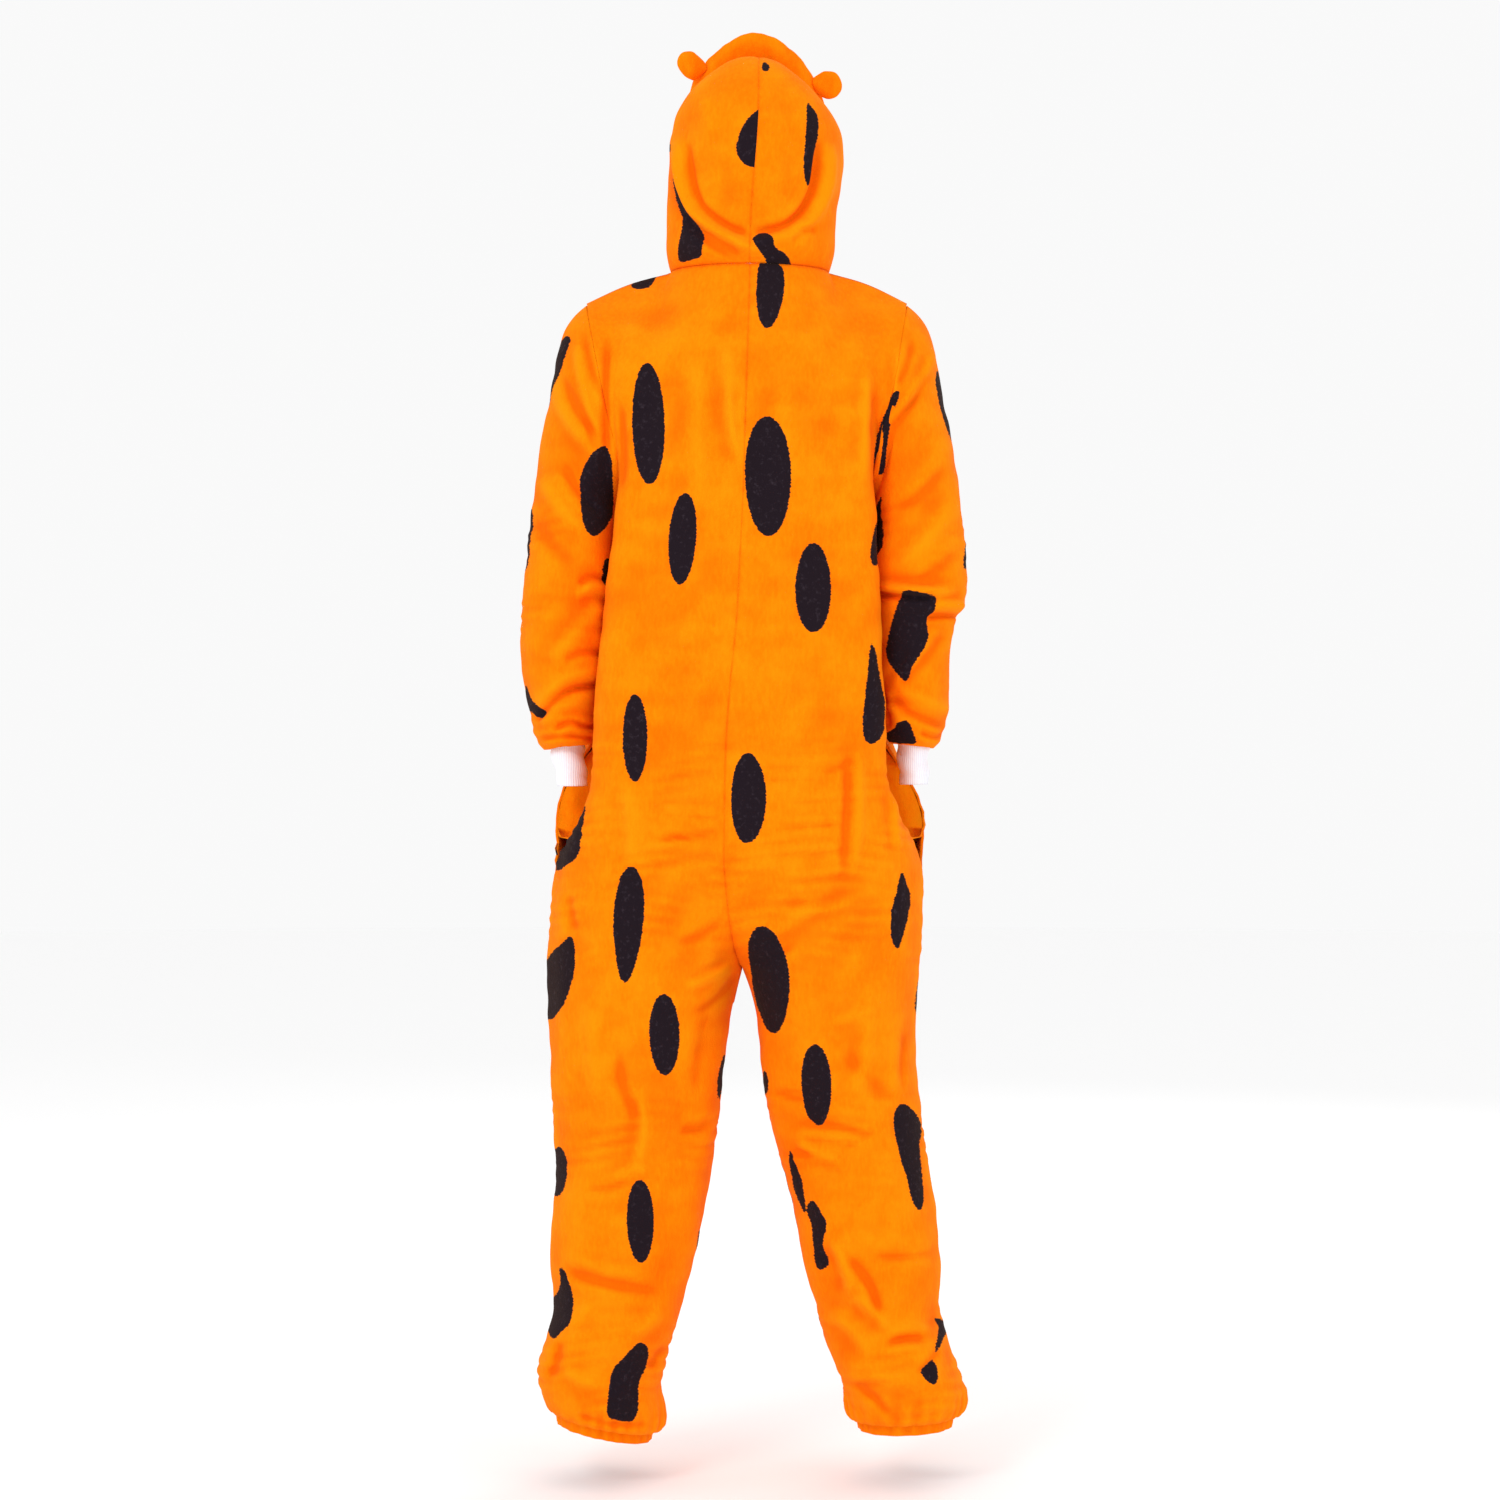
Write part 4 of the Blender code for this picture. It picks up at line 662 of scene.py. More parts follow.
def polyester_thread():
    """Spun polyester sewing thread: twisted, matt, a shade lighter than the fleece."""
    buttons = bpy.context.scene.onesie_buttons
    material, tree, shader, coords = new_material("polyester_thread")
    twist = add_node(tree, "TexNoise", {"Vector": coords, "Scale": 1 / 0.0008, "Detail": 2.0})
    mix = add_node(
        tree, "Mix", {"Factor": twist.outputs["Fac"], 6: (*buttons.thread, 1), 7: (*linear("C96F10"), 1)},
        data_type="RGBA",
    )
    tree.links.new(mix.outputs[2], shader.inputs["Base Color"])
    shader.inputs["Roughness"].default_value = 0.7
    return material


def material_named(name, make):
    """The material of that name, made the first time that it is asked for."""
    return bpy.data.materials.get(name) or make()


def smoothstep(values, low, high):
    t = np.clip((values - low) / (high - low), 0.0, 1.0)
    return t * t * (3.0 - 2.0 * t)


def rim_edges(bm):
    """The sharp edges of a cloth wall, where its two faces meet its narrow rim."""
    return [e for e in bm.edges if len(e.link_faces) == 2 and e.calc_face_angle(0.0) > math.radians(52)]


def welded(node):
    """A welded copy of a solid as a bmesh of four-sided faces."""
    bm = bmesh.new()
    bm.from_mesh(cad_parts[node].data)
    bmesh.ops.remove_doubles(bm, verts=bm.verts, dist=0.01 * MM)
    bmesh.ops.join_triangles(
        bm, faces=bm.faces, angle_face_threshold=math.radians(40), angle_shape_threshold=math.radians(70)
    )
    return bm


def rim_points(node, step=3 * MM):
    """Points along the rim of a node, where it is sewn on or hemmed."""
    bm = welded(node)
    points = []
    for edge in rim_edges(bm):
        a, b = (v.co for v in edge.verts)
        count = max(1, round((b - a).length / step))
        points.extend(a.lerp(b, k / count) for k in range(count))
    bm.free()
    return points


def tree_of(points):
    tree = KDTree(max(1, len(points)))
    for k, point in enumerate(points):
        tree.insert(point, k)
    tree.balance()
    return tree


RIMS = {}


def rims():
    """For each fleece piece, trees of the rim points that are sewn to another piece and of those that are free."""
    if RIMS:
        return RIMS
    sewn_on = [*FLEECE_NODES, "hem_left", "hem_right", "cuff_left", "cuff_right"]
    points = {node: rim_points(node) for node in sewn_on}
    whole = {node: tree_of(found) for node, found in points.items()}
    for node in sewn_on:
        others = [tree for other, tree in whole.items() if other != node]
        sewn = [p for p in points[node] if min(tree.find(p)[2] for tree in others) < 4 * MM]
        free = [p for p in points[node] if min(tree.find(p)[2] for tree in others) >= 6 * MM]
        RIMS[node] = (tree_of(sewn), tree_of(free), len(free))
    return RIMS


def away_from_axis(points, kind, side):
    """For each point, the level direction away from the axis of the trunk, leg, arm or head inside."""
    if kind == "arm":
        top = np.array([0.190 * side, 0.0, -0.130])
        end = np.array([0.232 * side if side > 0 else -0.206, 0.0, -0.560])
        along = (end - top) / np.linalg.norm(end - top)
        away = points - top
        away -= (away @ along)[:, None] * along
    elif kind == "head":
        middle = np.stack([np.full(len(points), -0.005), np.full(len(points), 0.010),
                           np.clip(points[:, 2], 0.040, 0.190)], axis=1)
        away = points - middle
    else:
        low = 1.0 - smoothstep(points[:, 2], -0.920, -0.820)
        centre = (1.0 - low) * 0.012 + low * leg_axis(points[:, 2], side)
        half = (1.0 - low) * 0.090 + low * 0.035
        away = points.copy()
        away[:, 0] -= np.clip(points[:, 0], centre - half, centre + half)
        away[:, 2] = 0.0
    return away / np.maximum(np.linalg.norm(away, axis=1), 1e-6)[:, None]


def by_armhole(points, reach):
    """How near points lie to the armhole seam, from 0 to 1."""
    seam_x = 0.204 + 0.154 * np.clip(points[:, 2], -0.26, 0.0)
    return np.exp(-(((np.abs(points[:, 0]) - seam_x) / reach) ** 2)) * smoothstep(points[:, 2], -0.275, -0.245)


def directions(points, kind, side):
    """Which way each point of a wall moves for a crease. Near the armhole both pieces use one direction."""
    away = away_from_axis(points, kind, side)
    if kind == "head":
        return away
    near = by_armhole(points, 0.028)
    level = np.zeros_like(points)
    level[:, 1] = np.clip(points[:, 1] / 0.050, -1.0, 1.0)
    return away * (1.0 - near)[:, None] + level * near[:, None]


def crease_line(row):
    """The width, rise and line of a crease, in metres."""
    if len(row) == 3:
        width, rise, stops = row
        return width * MM, rise * MM, smooth_line(np.array(stops) * MM, closed=False)
    x1, z1, x2, z2, bow, width, rise = (value * MM for value in row)
    width *= SHORT_CREASE_WIDTH
    start, end = np.array([x1, z1]), np.array([x2, z2])
    control = 0.5 * (start + end) + 2.0 * bow * np.array([z1 - z2, x2 - x1]) / np.linalg.norm(end - start)
    t = np.linspace(0.0, 1.0, 13)[:, None]
    return width, rise, (1 - t) ** 2 * start + 2 * t * (1 - t) * control + t**2 * end


def smooth_line(stops, closed):
    """Cuts the corners of a line three times over, which rounds it."""
    for _ in range(3):
        after = np.roll(stops, -1, axis=0)
        cut = np.stack([0.75 * stops + 0.25 * after, 0.25 * stops + 0.75 * after], axis=1).reshape(-1, 2)
        stops = cut if closed else np.concatenate([stops[:1], cut[:-2], stops[-1:]])
    return stops


def nearest_on_line(flat, line):
    """Each point's distance to a line, on which side of it the point lies and how far along it, from 0 to 1."""
    spans = np.diff(line, axis=0)
    offsets = flat[:, None, :] - line[None, :-1, :]
    share = np.clip((offsets * spans).sum(axis=2) / np.maximum((spans**2).sum(axis=1), 1e-12), 0.0, 1.0)
    gaps = offsets - share[:, :, None] * spans[None]
    lengths = np.linalg.norm(gaps, axis=2)
    nearest = lengths.argmin(axis=1)
    picked = np.arange(len(flat))
    cross = spans[nearest, 0] * gaps[picked, nearest, 1] - spans[nearest, 1] * gaps[picked, nearest, 0]
    return lengths[picked, nearest], np.sign(cross), (nearest + share[picked, nearest]) / (len(line) - 1)


def crease_heights(points, creases, facing):
    """The rise of the cloth for a table of creases, on the cloth that faces back (1) or front (-1)."""
    total = np.zeros(len(points))
    turned = smoothstep(points[:, 1] * facing, -0.012, 0.030)
    flat = in_picture(points) if facing > 0 else points[:, (0, 2)]
    for row in creases:
        width, rise, line = crease_line(row)
        reach = 3.5 * width
        near = (flat > line.min(axis=0) - reach).all(axis=1) & (flat < line.max(axis=0) + reach).all(axis=1)
        chosen = np.nonzero((turned > 0) & near)[0]
        if not len(chosen):
            continue
        distance, sign, along = nearest_on_line(flat[chosen], line)
        signed = distance * sign
        taper = smoothstep(along, -0.02, 0.25) * (1.0 - smoothstep(along, 0.75, 1.02))
        beside = 0.40 * np.exp(-(((signed - 1.9 * width) / (1.3 * width)) ** 2))
        total[chosen] += rise * taper * (np.exp(-((signed / width) ** 2)) - beside) * turned[chosen]
    return total


def undulation(points, amount, seed=7):
    """A gentle unevenness that depends on place alone, so that it is the same on both pieces at a seam."""
    rng = np.random.default_rng(seed)
    total = np.zeros(len(points))
    for wavelength in (0.110, 0.085, 0.070, 0.058, 0.047, 0.038, 0.031, 0.026):
        turn = rng.normal(size=3)
        wave = 2 * math.pi / wavelength * turn / np.linalg.norm(turn) * np.array([1.0, 1.0, 0.8])
        total += (wavelength / 0.110) ** 0.7 * np.sin(points @ wave + rng.uniform(0.0, 2 * math.pi))
    return amount * total / 2.2


def fine_wrinkles(points, kind):
    """Short level wrinkles where the cloth is pushed together, the same on both pieces at a seam."""
    total = np.zeros(len(points))
    for z, half, amount in WRINKLED.get(kind, ()):
        sway = 2.2 * np.sin(points[:, 0] / 0.031 + 90 * z) + 1.4 * np.sin(points[:, 1] / 0.027)
        wave = np.sin(2 * math.pi * points[:, 2] / 0.016 + sway)
        patch = 0.5 + 0.5 * np.sin(points[:, 0] / 0.021 + points[:, 2] / 0.017 + 20 * z)
        total += amount * MM * wave * patch * np.exp(-(((points[:, 2] - z) / half) ** 2))
    return total


def ankle_gathers(turn, side):
    """The folds that the elastic draws, as a wave around the ankle from -1 to 1."""
    return np.cos(27 * turn + 2.0 * np.sin(3 * turn + side)) * (0.7 + 0.3 * np.sin(5 * turn))


def leg_axis(z, side):
    """How far the middle of a leg lies from the middle of the garment at each height."""
    return side * np.interp(-z, (0.85, 1.35), (0.125, 0.182))


def close_side_slit(points, kind, side):
    """Leans the sleeve and the trunk on each other below the armpit, where cloth lies on cloth."""
    heights, middles = zip(*SLIT_COURSE[side])
    middle = np.interp(-points[:, 2], -np.array(heights) * MM, np.array(middles) * MM)
    level = np.interp(-points[:, 2], (0.230, 0.270, 0.545, 0.575), (0.0, 1.0, 1.0, 0.0))
    near = np.exp(-(((np.abs(points[:, 0]) - middle) / 0.018) ** 2))
    points[:, 0] += side * (SLEEVE_LEAN if kind == "arm" else TRUNK_LEAN) * level * near


def close_seams(mesh, points, node):
    """Brings the rims that are sewn together edge to edge, so that no light shows through a seam."""
    sewn = rims()[node][0]
    marks = mesh.attributes["rim"].data
    push = np.zeros_like(points)
    for polygon in mesh.polygons:
        if marks[polygon.index].value:
            push[list(polygon.vertices)] += np.array(polygon.normal)
    chosen = np.nonzero(np.linalg.norm(push, axis=1) > 0.1)[0]
    chosen = chosen[distances(sewn, points[chosen], 0.05) < 3 * MM]
    lengths = np.linalg.norm(push[chosen], axis=1)[:, None]
    points[chosen] += SEAM_CLOSING * push[chosen] / lengths


def slide_centre_seam(points):
    """Moves the cloth by the middle of the back sideways, along the seam's own wandering course."""
    heights, shifts = zip(*sorted((z, x) for z, x in SEAM_COURSE))
    shift = np.interp(points[:, 2], np.array(heights) * MM, np.array(shifts) * MM)
    near = np.exp(-((points[:, 0] / 0.055) ** 2)) * smoothstep(points[:, 1], 0.0, 0.060)
    points[:, 0] += shift * near


def vertex_array(mesh, name="co"):
    values = np.empty(len(mesh.vertices) * 3, np.float32)
    mesh.vertices.foreach_get(name, values)
    return values.reshape(-1, 3).astype(float)


def put_points(mesh, points):
    mesh.vertices.foreach_set("co", points.astype(np.float32).ravel())
    mesh.update()


def put_values(mesh, name, values):
    attribute = mesh.attributes.get(name) or mesh.attributes.new(name, "FLOAT", "POINT")
    attribute.data.foreach_set("value", np.asarray(values, np.float32))


def fine_piece(name, bm, levels, material):
    """An object of the bmesh, subdivided, with its rims kept sharp and the narrow faces between them marked."""
    crease = bm.edges.layers.float.get("crease_edge") or bm.edges.layers.float.new("crease_edge")
    rim = bm.faces.layers.int.new("rim")
    sharp = set(rim_edges(bm))
    for edge in sharp:
        edge[crease] = 1.0
    for face in bm.faces:
        narrow = min(edge.calc_length() for edge in face.edges) < 3.5 * MM
        face[rim] = int(narrow and sum(edge in sharp for edge in face.edges) > 1)
    mesh = bpy.data.meshes.new(name)
    bm.to_mesh(mesh)
    bm.free()
    obj = bpy.data.objects.new(name, mesh)
    bpy.context.scene.collection.objects.link(obj)
    modifier = obj.modifiers.new("Smooth", "SUBSURF")
    modifier.levels = modifier.render_levels = max(1, levels - (0))
    modifier.boundary_smooth = "PRESERVE_CORNERS"
    apply_modifiers(obj)
    obj.data.materials.clear()
    obj.data.materials.append(material)
    for polygon in obj.data.polygons:
        polygon.use_smooth = True
    return obj


def apply_modifiers(obj):
    graph = bpy.context.evaluated_depsgraph_get()
    graph.update()
    mesh = bpy.data.meshes.new_from_object(obj.evaluated_get(graph))
    old = obj.data
    obj.modifiers.clear()
    obj.data = mesh
    bpy.data.meshes.remove(old)
    mesh.name = obj.name


def stand_for(obj, node):
    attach(obj, "root")
    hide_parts(node)


def distances(tree, points, most):
    """Each point's distance to the nearest point of the tree, up to most."""
    return np.array([min(tree.find(Vector(p))[2] or most, most) for p in points])


def seam_grooves(points, node):
    """How far the cloth sinks into its seams and hems, and the same with the thin shade of the seam line."""
    cloth = bpy.context.scene.onesie_cloth
    sewn, free, free_count = rims()[node]
    gap = distances(sewn, points, 0.05)
    shown = 1.0 if node.startswith("hood") else 1.0 - 0.98 * by_armhole(points, 0.045)
    sunk = -cloth.seam_depth * shown * np.exp(-((gap / cloth.seam_width) ** 2))
    line = -2.4 * MM * shown * np.exp(-((gap / (0.3 * cloth.seam_width)) ** 2))
    if node.startswith("hood") and free_count:
        hem = distances(free, points, 0.05)
        sunk -= 0.9 * MM * np.exp(-(((hem - 0.016) / 0.0022) ** 2))
    return sunk, sunk + line


def in_picture(points):
    """Where points show from the camera, on the upright plane through the neck."""
    stage = bpy.context.scene.onesie_stage
    middle = stage.floor_height + stage.height
    nearer = stage.distance / (stage.distance - points[:, 1])
    return np.stack([points[:, 0] * nearer, middle + (points[:, 2] - middle) * nearer], axis=1)


def seen_from_behind(points, normals, outer):
    """Where points show from behind, which of them face back, and which lie just round the outline, where an
    oval that the outline cuts goes on."""
    stage = bpy.context.scene.onesie_stage
    camera = np.array([0.0, stage.distance, stage.floor_height + stage.height])
    sight = camera - points
    facing = (normals * sight).sum(axis=1) / np.linalg.norm(sight, axis=1)
    flat = in_picture(points)
    band = np.floor((flat[:, 1] - flat[:, 1].min()) / 0.005).astype(int)
    low, high = np.full(band.max() + 1, np.inf), np.full(band.max() + 1, -np.inf)
    np.minimum.at(low, band, flat[:, 0])
    np.maximum.at(high, band, flat[:, 0])
    low, high = low[band], high[band]
    edge = np.where(flat[:, 0] - low < high - flat[:, 0], low, high)
    turned = (facing > 0) | (normals[:, 2] > 0.5)
    return flat, outer & turned, outer & ~turned & (np.abs(edge - flat[:, 0]) < 0.024)


def inside_ellipse(flat, row):
    """How many millimetres points lie inside an oval of the table, at most 12 either way."""
    x, z, width, height, lean, egg = row
    angle = math.radians(lean)
    away = flat / MM - (x, z)
    u = away[:, 0] * math.cos(angle) - away[:, 1] * math.sin(angle)
    v = away[:, 1] * math.cos(angle) + away[:, 0] * math.sin(angle)
    half_height = 0.5 * height
    half_width = 0.5 * width * (1.0 + egg * np.clip(v / half_height, -1.0, 1.0))
    ratio = np.maximum(np.sqrt((u / half_width) ** 2 + (v / half_height) ** 2), 1e-6)
    slope = np.sqrt((u / half_width**2) ** 2 + (v / half_height**2) ** 2) / ratio
    return np.clip((1.0 - ratio) / np.maximum(slope, 1e-6), -12.0, 12.0)


def inside_outline(flat, stops):
    """The same for an outline of the table."""
    line = smooth_line(np.array(stops, float) * MM, closed=True)
    line = np.concatenate([line, line[:1]])
    depth = np.full(len(flat), -12.0)
    near = (flat > line.min(axis=0) - 0.012).all(axis=1) & (flat < line.max(axis=0) + 0.012).all(axis=1)
    chosen = np.nonzero(near)[0]
    if not len(chosen):
        return depth
    spot = flat[chosen]
    distance, _, _ = nearest_on_line(spot, line)
    start, end = line[:-1], line[1:]
    straddles = (start[:, 1] > spot[:, 1:]) != (end[:, 1] > spot[:, 1:])
    rise = np.where(np.abs(end[:, 1] - start[:, 1]) < 1e-9, 1e-9, end[:, 1] - start[:, 1])
    crossing = start[:, 0] + (spot[:, 1:] - start[:, 1]) / rise * (end[:, 0] - start[:, 0])
    inside = (straddles & (spot[:, :1] < crossing)).sum(axis=1) % 2 == 1
    depth[chosen] = np.clip(np.where(inside, distance, -distance) / MM, -12.0, 12.0)
    return depth


def past_the_outline(points, stops):
    """The same for the end of an oval that the garment's outline cuts: it goes on round the side and rounds off."""
    (x, z), height = np.mean(stops, axis=0), 0.8 * np.ptp([stop[1] for stop in stops])
    depth = inside_ellipse(points[:, 1:], (3, z, 2 * SIDE_REACH, height, 0, 0))
    return np.where(np.abs(points[:, 0] / MM - x) < 40, depth, -12.0)


def oval_depth(node, points, normals, outer):
    """For each point, how many millimetres it lies inside the nearest printed oval, or outside as a minus."""
    panels = node.split("_")[1] if node in BODY_NODES else node
    flat, facing_back, round_the_edge = seen_from_behind(points, normals, outer)
    whole = np.full(len(points), -12.0)
    cut, side_end = whole.copy(), whole.copy()
    for row in OVALS:
        if panels in row[0].split():
            whole = np.maximum(whole, inside_ellipse(flat, row[1:]))
    for names, stops in OUTLINES:
        if panels in names.split():
            cut = np.maximum(cut, inside_outline(flat, stops))
            side_end = np.maximum(side_end, past_the_outline(points, stops))
    round_the_edge &= not node.startswith("hood")
    depth = np.where(facing_back, np.maximum(whole, cut), np.where(round_the_edge, side_end, -12.0))
    ahead = outer & (normals[:, 1] < -0.15)
    for row in FRONT_OVALS:
        if panels == row[0]:
            found = inside_ellipse(points[:, (0, 2)], row[1:])
            depth = np.where(ahead, np.maximum(depth, found), depth)
    return depth


def gaps_to_brim(points):
    """How far points of the hood lie from the brim, which shades them."""
    tree = BVHTree.FromBMesh(welded("brim"))
    gaps = np.full(len(points), 0.05)
    for k in np.nonzero(points[:, 2] > 0.12)[0]:
        gaps[k] = tree.find_nearest(Vector(points[k]))[3]
    return gaps


def fleece_piece(node, levels, kind, creases):
    """A panel of fleece: the solid's own form, finer, with creases, sunk seams and its share of the print.

    creases pairs a table with the way that it faces."""
    cloth = bpy.context.scene.onesie_cloth
    side = SIDES[node.split("_")[1]]
    obj = fine_piece("fleece_" + node, welded(node), levels, material_named("flannel_fleece", flannel_fleece))
    mesh = obj.data
    points = vertex_array(mesh)
    normals = vertex_array(mesh, "normal")
    outer = (away_from_axis(points, kind, side) * normals).sum(axis=1) > 0
    if kind == "body":
        outer |= (points[:, 2] > -0.045) & (normals[:, 2] > 0.25)
    if kind != "head":
        outer |= (by_armhole(points, 0.050) > 0.2) & (normals[:, 1] > 0.1)
    height = sum(crease_heights(points, table, facing) for table, facing in creases)
    height = height + undulation(points, cloth.undulation) + fine_wrinkles(points, kind)
    if kind == "head":
        height *= smoothstep(points[:, 2], 0.036, 0.060)
    else:
        height *= cloth.crease_gain * (1.0 - smoothstep(points[:, 2], -0.030, 0.012))
    if kind == "body":
        low = points[:, 2].min()
        turn = np.arctan2(points[:, 1], points[:, 0] - leg_axis(points[:, 2], side))
        fading = 1.0 - smoothstep(points[:, 2], low + 0.008, low + 0.060)
        height += 1.9 * MM * ankle_gathers(turn, side) * fading
    sunk, shade = seam_grooves(points, node)
    if kind == "head":
        shade -= 5.0 * MM * np.exp(-((gaps_to_brim(points) / 0.0045) ** 2))
    depth = oval_depth(node, points, normals, outer)
    close_seams(mesh, points, node)
    points += directions(points, kind, side) * (height + sunk)[:, None]
    if kind != "head":
        close_side_slit(points, kind, side)
    if node.startswith("back"):
        slide_centre_seam(points)
    put_points(mesh, points)
    # Crease height plus seam and brim shade, kept for the painted shade and painted highlight of the fleece colour
    put_values(mesh, "rise_for_painted_shade", (height + 0.6 * shade) / MM)
    put_values(mesh, "oval_depth", depth)
    stand_for(obj, node)
    return obj


class ONESIE_OT_panels(bpy.types.Operator):
    """Back and front panels, each in one piece from the shoulder to the ankle"""

    bl_idname = "onesie.panels"
    bl_label = "Body panels"

    def execute(self, context):
        for side in SIDES:
            back = fleece_piece(f"back_{side}", 3, "body", [(BACK_CREASES, 1), (FRONT_CREASES, -1)])
            front = fleece_piece(f"front_{side}", 2, "body", [(BACK_CREASES, 1), (FRONT_CREASES, -1)])
        return {"FINISHED"}


class ONESIE_OT_sleeves(bpy.types.Operator):
    """Sleeves, folded at the elbow and full above the cuff"""

    bl_idname = "onesie.sleeves"
    bl_label = "Sleeves"

    def execute(self, context):
        tables = [(SLEEVE_CREASES, 1), (BACK_CREASES, 1), (FRONT_CREASES, -1)]
        for side in SIDES:
            sleeve = fleece_piece(f"sleeve_{side}", 3, "arm", tables)
        return {"FINISHED"}


class ONESIE_OT_hood(bpy.types.Operator):
    """Hood halves, joined over the crown, with the drape at the nape"""

    bl_idname = "onesie.hood"
    bl_label = "Hood"

    def execute(self, context):
        for side in SIDES:
            half = fleece_piece(f"hood_{side}", 3, "head", [(HOOD_CREASES, 1), (HOOD_DRAPE, 1)])
        return {"FINISHED"}


class ONESIE_OT_cuffs(bpy.types.Operator):
    """White rib cuffs, knitted in vertical ribs"""

    bl_idname = "onesie.cuffs"
    bl_label = "Cuffs"

    def execute(self, context):
        cloth = context.scene.onesie_cloth
        for side in SIDES:
            node = f"cuff_{side}"
            obj = fine_piece("rib_" + node, welded(node), 3, material_named("rib_jersey", rib_jersey))
            points = vertex_array(obj.data)
            low, high = (np.array(corner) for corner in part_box(node))
            middle = 0.5 * (low + high)
            away = points - middle
            away[:, 2] = 0.0
            turn = np.arctan2(away[:, 1] / (high - low)[1], away[:, 0] / (high - low)[0])
            around = math.pi * (high - low)[:2].mean()
            ribs = round(around / cloth.rib_spacing)
            rise = cloth.rib_height * np.cos(ribs * turn)
            slump = 1.7 * MM * np.sin(points[:, 2] / 0.0055 + 2.2 * np.cos(turn + 2.4 * SIDES[side]))
            slump *= smoothstep(points[:, 2], low[2] + 0.004, low[2] + 0.014)
            slump *= 1.0 - smoothstep(points[:, 2], high[2] - 0.014, high[2] - 0.004)
            outward = away / np.maximum(np.linalg.norm(away, axis=1), 1e-6)[:, None]
            put_points(obj.data, points + outward * (rise + slump)[:, None])
            # Rib rise, kept for the painted shade in the troughs between the ribs
            put_values(obj.data, "rise_for_painted_shade", rise / MM)
            stand_for(obj, node)
        return {"FINISHED"}


class ONESIE_OT_hems(bpy.types.Operator):
    """Ankle bands, gathered by the elastic inside"""

    bl_idname = "onesie.hems"
    bl_label = "Ankle bands"

    def execute(self, context):
        for side in SIDES:
            node = f"hem_{side}"
            material = material_named("plain_fleece", plain_fleece)
            obj = fine_piece("fleece_" + node, welded(node), 3, material)
            points = vertex_array(obj.data)
            low, high = (np.array(corner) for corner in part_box(node))
            middle = 0.5 * (low + high)
            away = points - middle
            away[:, 2] = 0.0
            turn = np.arctan2(away[:, 1], away[:, 0])
            growing = smoothstep(points[:, 2], low[2], low[2] + 0.008)
            rise = 1.3 * MM * ankle_gathers(turn, SIDES[side]) * growing
            outward = away / np.maximum(np.linalg.norm(away, axis=1), 1e-6)[:, None]
            put_points(obj.data, points + outward * rise[:, None])
            # Gather rise, kept for painted shade in the folds and a painted highlight on their backs
            put_values(obj.data, "rise_for_painted_shade", rise / MM)
            put_values(obj.data, "oval_depth", np.full(len(points), -12.0))
            stand_for(obj, node)
        return {"FINISHED"}


def plain_fleece():
    return flannel_fleece("plain_fleece", printed=False)


class ONESIE_OT_padding(bpy.types.Operator):
    """Padded brim over the face and the two round ears"""

    bl_idname = "onesie.padding"
    bl_label = "Brim and ears"

    def execute(self, context):
        material = material_named("plain_fleece", plain_fleece)
        brim = BVHTree.FromBMesh(welded("brim"))
        for node in ("brim", "ear_left", "ear_right"):
            obj = fine_piece("padded_" + node, welded(node), 3, material)
            points = vertex_array(obj.data)
            normals = vertex_array(obj.data, "normal")
            dents = undulation(points * 2.2, 1.0 * MM, seed=11)
            plump = points + normals * dents[:, None]
            if node == "brim":
                away = away_from_axis(points, "head", 0)
                plump += away * crease_heights(points, BRIM_CREASES, 1)[:, None]
                outward = np.clip((normals * away).sum(axis=1), 0.0, 1.0)
                swell = 2.5 + 6.0 * np.exp(-(((np.abs(points[:, 0]) - 0.060) / 0.024) ** 2))
                plump += away * (swell * MM * outward)[:, None]
            else:
                plump = sewn_to(brim, plump)
            put_points(obj.data, plump)
            # Dent depth, kept for painted shade in the dents and a painted highlight on the bumps
            put_values(obj.data, "rise_for_painted_shade", dents / MM)
            stand_for(obj, node)
        return {"FINISHED"}


def sewn_to(tree, points):
    """Draws the nearest part of an ear onto the brim that it is sewn to."""
    drawn = points.copy()
    for k, point in enumerate(points):
        spot, _, _, gap = tree.find_nearest(Vector(point))
        pull = 0.85 * float(1.0 - smoothstep(gap, 0.002, 0.016))
        drawn[k] += pull * (np.array(spot) - point)
    return drawn


class ONESIE_OT_pockets(bpy.types.Operator):
    """Pocket bags in the side seams"""

    bl_idname = "onesie.pockets"
    bl_label = "Pockets"

    def execute(self, context):
        material = material_named("plain_fleece", plain_fleece)
        for side in SIDES:
            node = f"pocket_{side}"
            obj = fine_piece("bag_" + node, welded(node), 2, material)
            put_values(obj.data, "rise_for_painted_shade", np.zeros(len(obj.data.vertices)))
            stand_for(obj, node)
        return {"FINISHED"}


class ONESIE_OT_placket(bpy.types.Operator):
    """Button placket, sewn down along both edges"""

    bl_idname = "onesie.placket"
    bl_label = "Placket"

    def execute(self, context):
        bm = welded("placket")
        tree = BVHTree.FromBMesh(bm)
        obj = fine_piece("placket_strip", bm, 3, material_named("plain_fleece", plain_fleece))
        low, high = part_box("placket")
        points = vertex_array(obj.data)
        edge = np.abs(np.abs(points[:, 0]) - 0.0150)
        rise = -0.5 * MM * np.exp(-((edge / 0.0014) ** 2))
        points[:, 1] -= rise
        put_points(obj.data, points)
        # Three times the groove depth, kept for painted shade along both stitched edges
        put_values(obj.data, "rise_for_painted_shade", 3.0 * rise / MM)
        stand_for(obj, "placket")
        stitch_rows(tree, low, high)
        return {"FINISHED"}


